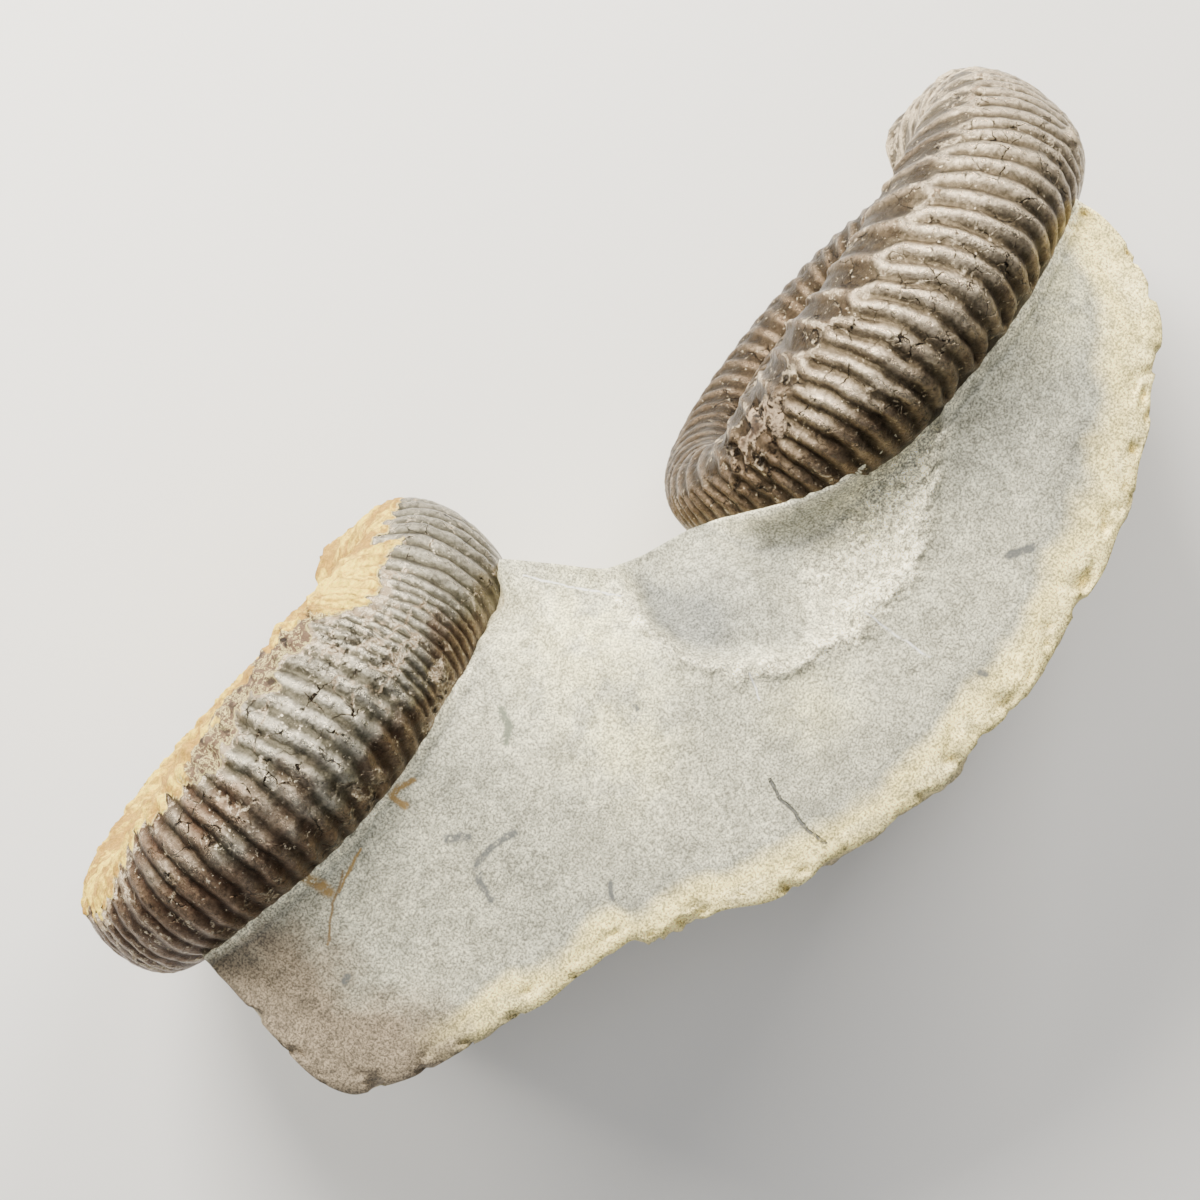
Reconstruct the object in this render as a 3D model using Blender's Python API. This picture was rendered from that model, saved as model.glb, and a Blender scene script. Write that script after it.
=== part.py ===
"""Two ribbed ammonites standing side by side in one block of nodule rock.

The block rests on a flat ground base at z = 0.  X runs along the block and the ammonites' fronts
face -Y.  Each ammonite is a coil of growing whorls whose rear flank is set in the rock.
Run it with: blender --background --python part.py
"""

import math
from dataclasses import dataclass

import bmesh
import bpy
from mathutils import Matrix, Vector

MM = 0.001
FIT_GAP = 0.3 * MM  # between an ammonite and the rock it sits in

# ---- the coils ------------------------------------------------------------------------------
SECTION_SIDES = 12  # facets round a whorl
SECTION_POWER = 2.3  # 2 is an ellipse; a higher power gives broader sides
WHORL_STEPS = (56, 36, 22, 16)  # rings in each turn, from the newest turn to the oldest
RIBBED_TURNS = 2  # every second ring of these turns is a furrow between two ribs
FURROW = 0.955  # whorl size in a furrow, as a part of its size on a rib
HUB_FLATNESS = 0.62  # height of the boss in the middle, as a part of its radius
HUB_REACH = 1.12  # how far the boss reaches under the innermost whorl
HUB_SEGMENTS = 14
HUB_RINGS = 8
SHARP_ANGLE = math.radians(50)
WELD = 0.001 * MM

# ---- the seats ------------------------------------------------------------------------------
SEAT_STEPS = 36
SEAT_SIDES = 10
SEAT_TURNS = 1.16
SEAT_LEAD = 0.004  # the seat runs this many turns past the mouth
SEAT_EASE = 0.4 * MM  # added to the gap, since the seat has fewer facets than the whorl
SEAT_FLOOR = 0.55  # depth of the seat behind the inner whorls, in widths of the previous whorl
SEAT_FLOOR_REACH = 1.02  # radius of that part of the seat, in radii one turn before the mouth
SEAT_FLOOR_SEGMENTS = 28

# ---- the rock -------------------------------------------------------------------------------
SIDE_LEVELS = (0.0, 1.5, 8.0, 16.0, 24.0, 32.0)  # heights in mm of the rings up the side
SIDE_SWELL = (-3.4, -1.7, 0.2, 1.3, 1.5, 0.9)  # how far the natural back stands out at each, in mm
FRONT_FOOT = 14.0 * MM  # below this height the front drops straight down
RIM_LEVEL = 40.0 * MM
RUNGS = 24  # points along the back, and as many along the front
RUNG_CUTS = 5  # rows of points across the upper face
FAR_FRONT = (  # x in mm, behind the far ammonite
    -52.8, -49.4, -45.4, -41.2, -37.0, -32.6, -28.2, -23.6, -19.0, -14.6, -11.0,
)
NEAR_FRONT = (4.6, 8.2, 12.6, 17.2, 22.0, 27.0, 32.0, 36.6, 41.2, 45.6)  # x in mm
SADDLE = ((-7.6, 0.6), (-3.0, -1.6), (1.4, -5.6))  # front of the rock between the coils, in mm
SADDLE_LEAN = 0.12  # the front between the coils leans back by this much as it rises
FRONT_DEPTH = 3.8 * MM  # the rock's front lies this far behind the middle of each coil
RIM_DROP = 1.6 * MM  # the upper face falls away by this much at its rim
# Rim of the upper face round the natural back, in mm, from the +X end to the -X end.
BACK_RIM = (
    (45.8, 2.0), (46.1, 12.0), (43.4, 16.8), (31.0, 20.3), (18.0, 23.2), (4.0, 29.0),
    (-9.5, 31.2), (-22.0, 30.3), (-36.0, 26.0), (-46.5, 19.6), (-52.0, 13.0), (-53.4, 6.6),
)
ROCK_MIDDLE = (-4.0, 8.0)  # in mm
CROWN_HEIGHT = 43.5 * MM  # upper face in the middle of the block
CROWN_FALL = 5.0 * MM  # how much lower it is at the block's ends
HALF_LENGTH = 55.0 * MM
SADDLE_HEIGHT = 36.5 * MM
SADDLE_SPREAD = 9.0 * MM  # how far the dip between the coils reaches back
COIL_CLEAR = 2.3 * MM  # the rock stays this far below the outer edge of a coil
EDGE_RADIUS = 0.86  # radius of that edge near the top, in radii at the mouth
FILLET_SPREAD = 7.0 * MM  # how far behind a coil the rock rises or falls to meet it
END_EASE = 2.6 * MM  # how gently that ends beyond a coil


@dataclass(frozen=True)
class Coil:
    """One ammonite: where it stands, how it leans and how it grew."""

    name: str
    centre: tuple  # middle of the coil
    yaw: float  # turn about the vertical, in degrees
    lean: float  # how far the front face looks upwards, in degrees
    roll: float  # how far the +X end is raised towards the front, in degrees
    mouth: float  # angle of the newest end from +X, over the top, in degrees
    radius: float  # outer radius at the mouth
    growth: float  # outer radius over that of one turn before
    height: float  # whorl height over outer radius
    width: float  # whorl width over outer radius

    def axes(self):
        """Along the coil, up the coil, and out of its front."""
        yaw, lean, roll = (math.radians(a) for a in (self.yaw, self.lean, self.roll))
        along = Vector((math.cos(yaw), math.sin(yaw), 0))
        back = Vector((-math.sin(yaw), math.cos(yaw), 0))
        up = Vector((0, 0, 1))
        rise = math.cos(lean) * up + math.sin(lean) * back
        out = -math.cos(lean) * back + math.sin(lean) * up
        return (
            math.cos(roll) * along + math.sin(roll) * out,
            rise,
            -math.sin(roll) * along + math.cos(roll) * out,
        )

    def placement(self):
        """The matrix from the coil's own plane to its place in the block."""
        along, rise, out = self.axes()
        turn = Matrix((along, rise, out)).transposed().to_4x4()
        return Matrix.Translation(Vector(self.centre)) @ turn

    def outer_radius(self, turns_back):
        return self.radius * self.growth**-turns_back


RIGHT = Coil(
    "ammonite_far", (-29.1 * MM, -6.4 * MM, 25.5 * MM),
    8.3, 11.4, -0.2, 206.0, 29.9 * MM, 1.60, 0.40, 0.50,
)
LEFT = Coil(
    "ammonite_near", (35.3 * MM, -15.3 * MM, 25.5 * MM),
    5.7, 13.2, 1.9, 228.0, 29.3 * MM, 1.49, 0.40, 0.505,
)
COILS = (LEFT, RIGHT)
BLOCK_SHIFT = Vector((3.9 * MM, -5.0 * MM))  # sets the middle of the whole footprint at x = y = 0


def clear_scene():
    for obj in list(bpy.data.objects):
        bpy.data.objects.remove(obj, do_unlink=True)


def new_collection(name):
    collection = bpy.data.collections.new(name)
    bpy.context.scene.collection.children.link(collection)
    return collection


def principled(name, colour, roughness, metallic=0.0):
    material = bpy.data.materials.new(name)
    material.use_nodes = True
    shader = material.node_tree.nodes["Principled BSDF"]
    shader.inputs["Base Color"].default_value = (*colour, 1.0)
    shader.inputs["Roughness"].default_value = roughness
    shader.inputs["Metallic"].default_value = metallic
    material.diffuse_color = (*colour, 1.0)
    return material


def as_helper(obj):
    obj.hide_render = True
    obj.display_type = "WIRE"


# ---- coils ----------------------------------------------------------------------------------
def whorl_section(name, half_height, half_width, sides, collection):
    """The outline of a whorl cut across: its height along X, its width along Y."""
    curve = bpy.data.curves.new(name, "CURVE")
    curve.dimensions = "2D"
    spline = curve.splines.new("POLY")
    spline.points.add(sides - 1)
    spline.use_cyclic_u = True
    for k, point in enumerate(spline.points):
        angle = 2 * math.pi * (k + 0.5) / sides
        c, s = math.cos(angle), math.sin(angle)
        reach = (abs(c) ** SECTION_POWER + abs(s) ** SECTION_POWER) ** (-1 / SECTION_POWER)
        point.co = (half_height * reach * c, half_width * reach * s, 0, 1)
    outline = bpy.data.objects.new(name, curve)
    collection.objects.link(outline)
    as_helper(outline)
    return outline


def turns_back_of_rings(steps):
    """Turns back from the mouth of every ring, and whether it lies in a furrow."""
    rings = []
    for turn, count in enumerate(steps):
        for k in range(count):
            rings.append((turn + k / count, turn < RIBBED_TURNS and k % 2 == 1))
    rings.append((float(len(steps)), False))
    return rings


def coil_tube(coil, name, rings, ease, sides, collection):
    """A whorl tube wound along the coil's spiral, as a closed mesh in its place."""
    half_height = coil.height * coil.radius / 2
    half_width = coil.width * coil.radius / 2
    section = whorl_section(name + "_section", half_height, half_width, sides, collection)
    curve = bpy.data.curves.new(name, "CURVE")
    curve.dimensions = "3D"
    curve.twist_mode = "Z_UP"
    curve.bevel_mode = "OBJECT"
    curve.bevel_object = section
    curve.use_fill_caps = True
    spline = curve.splines.new("POLY")
    spline.points.add(len(rings) - 1)
    for point, (turns_back, in_furrow) in zip(spline.points, rings):
        outer = coil.outer_radius(turns_back)
        angle = math.radians(coil.mouth) - 2 * math.pi * turns_back
        middle = outer * (1 - coil.height / 2)
        point.co = (middle * math.cos(angle), middle * math.sin(angle), 0, 1)
        scale = outer / coil.radius * (FURROW if in_furrow else 1.0)
        point.radius = scale + ease / half_height
    guide = bpy.data.objects.new(name + "_guide", curve)
    collection.objects.link(guide)
    bpy.context.view_layer.update()
    graph = bpy.context.evaluated_depsgraph_get()
    mesh = bpy.data.meshes.new_from_object(guide.evaluated_get(graph))
    mesh.name = name
    bm = bmesh.new()
    bm.from_mesh(mesh)
    bmesh.ops.remove_doubles(bm, verts=bm.verts, dist=WELD)
    bmesh.ops.recalc_face_normals(bm, faces=bm.faces)
    bmesh.ops.transform(bm, matrix=coil.placement(), verts=bm.verts)
    bm.to_mesh(mesh)
    bm.free()
    bpy.data.objects.remove(guide, do_unlink=True)
    obj = bpy.data.objects.new(name, mesh)
    collection.objects.link(obj)
    return obj


def hub(coil, collection):
    """The low boss that the innermost whorl winds round."""
    innermost = coil.outer_radius(len(WHORL_STEPS))
    radius = innermost * HUB_REACH
    mesh = bpy.data.meshes.new(coil.name + "_hub")
    bm = bmesh.new()
    bmesh.ops.create_uvsphere(
        bm, u_segments=HUB_SEGMENTS, v_segments=HUB_RINGS, radius=radius
    )
    bmesh.ops.scale(bm, vec=(1, 1, HUB_FLATNESS), verts=bm.verts)
    bmesh.ops.transform(bm, matrix=coil.placement(), verts=bm.verts)
    bm.to_mesh(mesh)
    bm.free()
    obj = bpy.data.objects.new(coil.name + "_hub", mesh)
    collection.objects.link(obj)
    as_helper(obj)
    return obj


def add_boolean(obj, other, operation, name, own=False):
    modifier = obj.modifiers.new(name, "BOOLEAN")
    modifier.operation = operation
    modifier.solver = "EXACT"
    modifier.use_self = own
    modifier.object = other
    return modifier


def ammonite(coil, material, parts, cutters):
    """The whole coil as one body: the tube's turns and the hub joined."""
    rings = turns_back_of_rings(WHORL_STEPS)
    obj = coil_tube(coil, coil.name, rings, 0.0, SECTION_SIDES, parts)
    obj.data.materials.append(material)
    add_boolean(obj, hub(coil, cutters), "UNION", "join turns", own=True)
    obj.data.shade_smooth()
    obj.data.set_sharp_from_angle(angle=SHARP_ANGLE)
    return obj


def seat_cutter(coil, cutters):
    """What is taken out of the rock: the outermost whorl, and the space inside it."""
    count = math.ceil(SEAT_STEPS * SEAT_TURNS)
    rings = [(k / SEAT_STEPS - SEAT_LEAD, False) for k in range(count)]
    ease = FIT_GAP + SEAT_EASE
    groove = coil_tube(coil, coil.name + "_seat", rings, ease, SEAT_SIDES, cutters)
    floor_radius = coil.outer_radius(1.0) * SEAT_FLOOR_REACH
    floor_depth = SEAT_FLOOR * coil.width * coil.outer_radius(1.0) + FIT_GAP
    mesh = bpy.data.meshes.new(coil.name + "_seat_floor")
    bm = bmesh.new()
    bmesh.ops.create_cone(
        bm, cap_ends=True, segments=SEAT_FLOOR_SEGMENTS, radius1=floor_radius, radius2=floor_radius,
        depth=2 * floor_depth,
    )
    bmesh.ops.transform(bm, matrix=coil.placement(), verts=bm.verts)
    bm.to_mesh(mesh)
    bm.free()
    floor = bpy.data.objects.new(coil.name + "_seat_floor", mesh)
    cutters.objects.link(floor)
    for cutter in (groove, floor):
        as_helper(cutter)
    add_boolean(groove, floor, "UNION", "join floor", own=True)
    return groove


# ---- rock -----------------------------------------------------------------------------------
def front_point(coil, x, z):
    """Where the plane behind a coil stands, at this x and this height."""
    _, _, out = coil.axes()
    centre = Vector(coil.centre)
    reach = -FRONT_DEPTH - out.x * (x - centre.x) - out.z * (z - centre.z)
    return Vector((x, centre.y + reach / out.y))


def soft_max(a, b, ease):
    """The larger of two heights, with the corner between them rounded off."""
    return (a + b + math.hypot(a - b, ease)) / 2


def saddle_distance(point):
    """How far a point is from the front of the rock between the coils."""
    chain = [Vector(p) * MM + BLOCK_SHIFT for p in SADDLE]
    nearest = []
    for a, b in zip(chain, chain[1:]):
        share = min(max((point - a).dot(b - a) / (b - a).length_squared, 0.0), 1.0)
        nearest.append((a + share * (b - a) - point).length)
    return min(nearest)


def top_height(x, y):
    """Height of the upper face: a low crown that rises to each coil and dips between them."""
    point = Vector((x, y))
    middle = ROCK_MIDDLE[0] * MM + BLOCK_SHIFT.x
    crown = CROWN_HEIGHT - CROWN_FALL * ((x - middle) / HALF_LENGTH) ** 2
    dip = math.exp(-((saddle_distance(point) / SADDLE_SPREAD) ** 2))
    crown += (SADDLE_HEIGHT - CROWN_HEIGHT) * dip
    height = crown
    for coil in COILS:
        centre = Vector(coil.centre)
        along, _, _ = coil.axes()
        run = (x - centre.x) / along.x
        reach = coil.radius * EDGE_RADIUS
        edge = math.sqrt(max(reach**2 - run**2, 0.0)) + centre.z - COIL_CLEAR
        contact = soft_max(edge, SADDLE_HEIGHT, 2 * END_EASE)
        behind = y - front_point(coil, x, contact).y
        blend = math.exp(-max(behind, 0.0) / FILLET_SPREAD)
        inside = 1 / (1 + math.exp((abs(run) - reach) / END_EASE))
        height += (contact - crown) * blend * inside
    return height


def back_rim_points(count):
    """Evenly numbered points on the smooth curve through BACK_RIM."""
    anchors = [Vector(p) * MM + BLOCK_SHIFT for p in BACK_RIM]
    points = []
    spans = len(anchors) - 1
    for k in range(count):
        t = k / (count - 1) * spans
        i = min(int(t), spans - 1)
        u = t - i
        before = anchors[max(i - 1, 0)]
        after = anchors[min(i + 2, spans)]
        a, b = anchors[i], anchors[i + 1]
        slope_a, slope_b = (b - before) / 2, (after - a) / 2
        points.append(
            (2 * u**3 - 3 * u**2 + 1) * a + (u**3 - 2 * u**2 + u) * slope_a
            + (3 * u**2 - 2 * u**3) * b + (u**3 - u**2) * slope_b
        )
    return points


def rock_outline(z, swell):
    """The block's outline at one height, anticlockwise from above: its back, then its front."""
    middle = Vector(ROCK_MIDDLE) * MM + BLOCK_SHIFT
    back = [p + (p - middle).normalized() * swell for p in back_rim_points(RUNGS)]
    steep = max(z, FRONT_FOOT)
    inset = Vector((0, max(-swell, 0.0)))
    lean = Vector((0, -SADDLE_LEAN * (RIM_LEVEL - steep)))
    far = [front_point(RIGHT, x * MM + BLOCK_SHIFT.x, steep) for x in FAR_FRONT]
    saddle = [Vector(p) * MM + BLOCK_SHIFT + lean for p in SADDLE]
    near = [front_point(LEFT, x * MM + BLOCK_SHIFT.x, steep) for x in NEAR_FRONT]
    return back, [p + inset for p in far + saddle + near]


def raise_rim(bm, rim, outline, height_of):
    """Extrude the rim's edges and set the new rim on an outline.  Returns the new vertices."""
    edges = [bm.edges.get((a, b)) for a, b in zip(rim, rim[1:] + rim[:1])]
    fresh = set(bmesh.ops.extrude_edge_only(bm, edges=edges)["geom"])
    raised = []
    for vert, point in zip(rim, outline):
        above = next(e.other_vert(vert) for e in vert.link_edges if e.other_vert(vert) in fresh)
        above.co = (*point, height_of(*point))
        raised.append(above)
    return raised


def rock(material, parts, cutters):
    """The block: a natural rounded back, a flat base, a low crowned upper face and two seats."""
    mesh = bpy.data.meshes.new("matrix")
    bm = bmesh.new()
    levels = [(z * MM, swell * MM) for z, swell in zip(SIDE_LEVELS, SIDE_SWELL)]
    back, front = rock_outline(*levels[0])
    rim = [bm.verts.new((*p, 0.0)) for p in back + front]
    bm.faces.new(rim)
    for z, swell in levels[1:]:
        back, front = rock_outline(z, swell)
        rim = raise_rim(bm, rim, back + front, lambda x, y: z)
    back, front = rock_outline(RIM_LEVEL, 0.0)
    rim = raise_rim(bm, rim, back + front, lambda x, y: top_height(x, y) - RIM_DROP)
    rungs = [bm.edges.new((rim[k], rim[-1 - k])) for k in range(1, RUNGS - 1)]
    for k in range(RUNGS - 1):
        bm.faces.new((rim[k], rim[k + 1], rim[-2 - k], rim[-1 - k]))
    rungs += [bm.edges.get((rim[0], rim[-1])), bm.edges.get((rim[RUNGS - 1], rim[RUNGS]))]
    inner = bmesh.ops.subdivide_edges(bm, edges=rungs, cuts=RUNG_CUTS, use_grid_fill=True)
    for vert in {g for g in inner["geom_inner"] if isinstance(g, bmesh.types.BMVert)}:
        on_end = any(e for e in vert.link_edges if len({f for f in e.link_faces}) == 1)
        vert.co.z = top_height(vert.co.x, vert.co.y) - (RIM_DROP if on_end else 0.0)
    bmesh.ops.triangulate(bm, faces=bm.faces)
    bmesh.ops.recalc_face_normals(bm, faces=bm.faces)
    bm.to_mesh(mesh)
    bm.free()
    mesh.materials.append(material)
    obj = bpy.data.objects.new("matrix", mesh)
    parts.objects.link(obj)
    for coil in COILS:
        add_boolean(obj, seat_cutter(coil, cutters), "DIFFERENCE", "seat of " + coil.name)
    return obj


def main():
    clear_scene()
    parts = new_collection("ammonite_pair_in_rock")
    cutters = new_collection("cutters")
    shell = principled("bronzed shell", (0.16, 0.13, 0.10), 0.38, 0.25)
    stone = principled("grey nodule stone", (0.46, 0.47, 0.46), 0.85)
    for coil in COILS:
        ammonite(coil, shell, parts, cutters)
    rock(stone, parts, cutters)


main()
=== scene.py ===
"""The looks of a pair of ribbed ammonites set in a block of nodule rock.

Shapes are worked out in millimetres and scaled to metres once, when a mesh becomes an object.
X runs along the block, the fronts of the ammonites face -Y, and +Z is up from the flat base.
"""

import bisect
import logging
import math
from dataclasses import dataclass, field, replace
from enum import Enum

import bmesh
import bpy
from mathutils import Matrix, Vector, noise


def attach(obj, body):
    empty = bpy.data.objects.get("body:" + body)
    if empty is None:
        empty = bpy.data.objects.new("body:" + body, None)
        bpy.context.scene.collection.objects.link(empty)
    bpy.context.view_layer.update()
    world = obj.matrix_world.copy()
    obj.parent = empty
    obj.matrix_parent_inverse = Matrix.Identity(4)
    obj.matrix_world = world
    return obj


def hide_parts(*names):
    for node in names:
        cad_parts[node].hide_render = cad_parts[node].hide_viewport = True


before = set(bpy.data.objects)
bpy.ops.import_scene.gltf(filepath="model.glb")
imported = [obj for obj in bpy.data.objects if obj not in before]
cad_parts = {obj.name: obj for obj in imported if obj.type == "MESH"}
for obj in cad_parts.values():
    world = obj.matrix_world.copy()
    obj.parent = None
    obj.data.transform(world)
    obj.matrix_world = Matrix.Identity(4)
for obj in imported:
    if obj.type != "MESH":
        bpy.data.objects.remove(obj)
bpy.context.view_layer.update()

LOG = logging.getLogger("ammonites")
MM = 0.001
BODY = "root"

Colour = tuple[float, float, float]
Spot = tuple[float, float, float]
Zone = tuple[float, float, float, float]
Pair = tuple[float, float]
Stops = tuple[Pair, ...]
Socket = bpy.types.NodeSocket


# ---- sums used by every shape -----------------------------------------------------------------
def unit(value: float) -> float:
    """Keep a number between 0 and 1."""
    return min(max(value, 0.0), 1.0)


def smooth(low: float, high: float, value: float) -> float:
    """Rise smoothly from 0 to 1 as a value goes from low to high."""
    t = unit((value - low) / (high - low))
    return t * t * (3 - 2 * t)


def within(zone: Zone, value: float) -> float:
    """Rise from 0 to 1 between a zone's first two stops, and fall back between its last two."""
    start, full, late, end = zone
    return smooth(start, full, value) * smooth(end, late, value)


def bell(away: float, reach: float = 1.0) -> float:
    """Fall from 1 at no distance to nearly 0 at twice the reach, on both sides."""
    return math.exp(-((away / reach) ** 2))


def lerp(a: float, b: float, share: float) -> float:
    """Go from a to b by a share of the way."""
    return a + (b - a) * share


def lumps(point: Vector, size: float, octaves: int = 3, shift: Spot = (0, 0, 0)) -> float:
    """Give fractal noise about zero.

    Args:
        point: where it is read, in mm.
        size: size of the largest lumps, in mm.
        octaves: how many finer layers it has.
        shift: how far off it is read, so that two patterns differ, in mm.

    Returns:
        A number from about -1 to 1.
    """
    return noise.fractal((point + Vector(shift)) / size, 1.0, 2.0, octaves)


def along(stops: Stops, value: float) -> float:
    """Read a smooth table of stops.

    Args:
        stops: pairs of place and value, in rising order of place.
        value: the place looked up.

    Returns:
        The value there.
    """
    for (x0, y0), (x1, y1) in zip(stops, stops[1:]):
        if value <= x1:
            return lerp(y0, y1, smooth(x0, x1, value))
    return stops[-1][1]


@dataclass(frozen=True)
class Curve:
    """A smooth open curve through a few points on the upper face."""

    points: Stops

    def at(self, share: float) -> Vector:
        """Find a point on the curve.

        Args:
            share: 0 at the first point, 1 at the last, by length of the straight runs.

        Returns:
            The point, in mm.
        """
        knots = [Vector(p) for p in self.points]
        lengths = [(b - a).length for a, b in zip(knots, knots[1:])]
        left = share * sum(lengths)
        i = 0
        while i < len(lengths) - 1 and left > lengths[i]:
            left -= lengths[i]
            i += 1
        u = min(left / lengths[i], 1.0)
        a, b = knots[i], knots[i + 1]
        before = knots[i - 1] if i else a + (a - b)
        after = knots[i + 2] if i + 2 < len(knots) else b + (b - a)
        start = (b - before).normalized() * lengths[i]
        end = (after - a).normalized() * lengths[i]
        return (
            (2 * u**3 - 3 * u**2 + 1) * a + (u**3 - 2 * u**2 + u) * start
            + (3 * u**2 - 2 * u**3) * b + (u**3 - u**2) * end
        )

    def side(self, point: Vector) -> Pair:
        """Measure how far a point is from the straight runs, and on which side.

        Args:
            point: a point in the plane, in mm.

        Returns:
            The distance, positive on the left of the curve, and the share of the way along.
        """
        best = (1e9, 0.0)
        total = 0.0
        for p, q in zip(self.points, self.points[1:]):
            a, b = Vector(p), Vector(q)
            run = b - a
            t = unit((point - a).dot(run) / run.length_squared)
            away = point - (a + t * run)
            turn = run.x * (point - a).y - run.y * (point - a).x
            if away.length < abs(best[0]):
                best = (math.copysign(away.length, turn), total + t * run.length)
            total += run.length
        return best[0], best[1] / total


# ---- node sheets ------------------------------------------------------------------------------
class NodeSheet:
    """A material's node tree, with short calls for the nodes that finishes are made of."""

    def __init__(self, name: str) -> None:
        """Start an empty material with one shader."""
        self.material = bpy.data.materials.new(name)
        self.material.use_nodes = True
        self.tree = self.material.node_tree
        self.shader = self.tree.nodes["Principled BSDF"]
        coordinates = self.tree.nodes.new("ShaderNodeTexCoord")
        self.place = coordinates.outputs["Object"]

    def link(self, source: Socket | float | Colour, target: Socket) -> None:
        """Feed a socket.

        Args:
            source: another socket, a number or a colour.
            target: the socket fed.
        """
        if isinstance(source, bpy.types.NodeSocket):
            self.tree.links.new(source, target)
        elif isinstance(source, tuple) and len(target.default_value) == 4:
            target.default_value = (*source, 1.0)
        else:
            target.default_value = source

    def node(self, kind: str, inputs: dict, output: str | int = 0, **settings) -> Socket:
        """Add a node.

        Args:
            kind: the node's type.
            inputs: sockets by name or number, and what feeds each.
            output: the output wanted.
            settings: properties of the node.

        Returns:
            The output socket.
        """
        made = self.tree.nodes.new(kind)
        for key, value in settings.items():
            setattr(made, key, value)
        for key, source in inputs.items():
            self.link(source, made.inputs[key])
        return made.outputs[output]

    def attribute(self, name: str) -> Socket:
        """Read a number that the mesh carries."""
        return self.node("ShaderNodeAttribute", {}, "Fac", attribute_name=name)

    def math(self, operation: str, *values: Socket | float, clamp: bool = False) -> Socket:
        """Combine numbers."""
        inputs = dict(enumerate(values))
        return self.node("ShaderNodeMath", inputs, operation=operation, use_clamp=clamp)

    def times(self, a: Socket | float, b: Socket | float) -> Socket:
        """Multiply two numbers."""
        return self.math("MULTIPLY", a, b)

    def plus(self, a: Socket | float, b: Socket | float, clamp: bool = False) -> Socket:
        """Add two numbers."""
        return self.math("ADD", a, b, clamp=clamp)

    def rest(self, share: Socket) -> Socket:
        """Give what a share leaves of 1."""
        return self.math("SUBTRACT", 1.0, share)

    def centred(self, value: Socket) -> Socket:
        """Move a noise of about a half to about zero."""
        return self.math("SUBTRACT", value, 0.5)

    def vector(self, operation: str, output: str | int = 0, **inputs) -> Socket:
        """Combine vectors.

        Args:
            operation: what is done.
            output: the output wanted.
            inputs: what feeds a, b and scale.

        Returns:
            The output socket.
        """
        names = {"a": 0, "b": 1, "scale": "Scale"}
        sockets = {names[key]: value for key, value in inputs.items()}
        return self.node("ShaderNodeVectorMath", sockets, output, operation=operation)

    def noise(self, size: float, detail: float = 4.0, roughness: float = 0.55,
              warp: float = 0.0, output: str = "Fac") -> Socket:
        """Read a noise texture.

        Args:
            size: size of its lumps, in mm.
            detail: how many finer layers it has.
            roughness: how strong those are.
            warp: how far the pattern is distorted.
            output: the output wanted.

        Returns:
            Numbers from about 0.2 to 0.8.
        """
        inputs = {
            "Vector": self.place, "Scale": 1 / (size * MM), "Detail": detail,
            "Roughness": roughness, "Distortion": warp,
        }
        return self.node("ShaderNodeTexNoise", inputs, output)

    def cells(self, size: float, place: Socket) -> Socket:
        """Read the distance to the nearest edge between cells of this size, in mm."""
        inputs = {"Vector": place, "Scale": 1 / (size * MM)}
        return self.node(
            "ShaderNodeTexVoronoi", inputs, "Distance", feature="DISTANCE_TO_EDGE"
        )

    def step(self, low: float, high: float, value: Socket) -> Socket:
        """Rise smoothly from 0 to 1 as a value goes from low to high."""
        inputs = {"Value": value, "From Min": low, "From Max": high}
        return self.node(
            "ShaderNodeMapRange", inputs, "Result", interpolation_type="SMOOTHSTEP"
        )

    def mix(self, share: Socket | float, a: Socket | Colour, b: Socket | Colour,
            blend: str = "MIX") -> Socket:
        """Mix two colours."""
        inputs = {0: share, 6: a, 7: b}
        return self.node("ShaderNodeMix", inputs, 2, data_type="RGBA", blend_type=blend)

    def blend(self, share: Socket, a: Socket | float, b: Socket | float) -> Socket:
        """Mix two numbers."""
        return self.node("ShaderNodeMix", {0: share, 2: a, 3: b}, 0, data_type="FLOAT")

    def grained(self, colour: Socket | Colour, grain: Socket, low: float, high: float) -> Socket:
        """Darken and lighten a colour by a grain.

        Args:
            colour: the colour.
            grain: the grain, from 0 to 1.
            low: what the colour is multiplied by where the grain is 0.
            high: the same where it is 1.

        Returns:
            The colour with its grain.
        """
        return self.mix(1.0, colour, self.blend(grain, low, high), "MULTIPLY")

    def bump(self, height: Socket, depth: float, below: Socket | None = None) -> Socket:
        """Turn a height from 0 to 1 into a normal.

        Args:
            height: the height.
            depth: how many mm a height of 1 stands for.
            below: a normal already bumped.

        Returns:
            The normal.
        """
        inputs = {"Height": height, "Distance": depth * MM}
        if below:
            inputs["Normal"] = below
        return self.node("ShaderNodeBump", inputs, "Normal")

    def warped(self, size: float, reach: float) -> Socket:
        """Push the object's coordinates about.

        Args:
            size: size of the noise that pushes them, in mm.
            reach: how far it pushes them, in mm.

        Returns:
            The coordinates.
        """
        drift = self.noise(size, 3.0, 0.5, output="Color")
        centred = self.vector("SUBTRACT", a=drift, b=(0.5, 0.5, 0.5))
        push = self.vector("SCALE", a=centred, scale=2 * reach * MM)
        return self.vector("ADD", a=self.place, b=push)

    def finish(self, colour: Socket, roughness: Socket | float, normal: Socket) -> None:
        """Feed the shader.

        Args:
            colour: the base colour.
            roughness: the roughness.
            normal: the bumped normal.
        """
        self.link(colour, self.shader.inputs["Base Color"])
        self.link(roughness, self.shader.inputs["Roughness"])
        self.link(normal, self.shader.inputs["Normal"])


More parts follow.
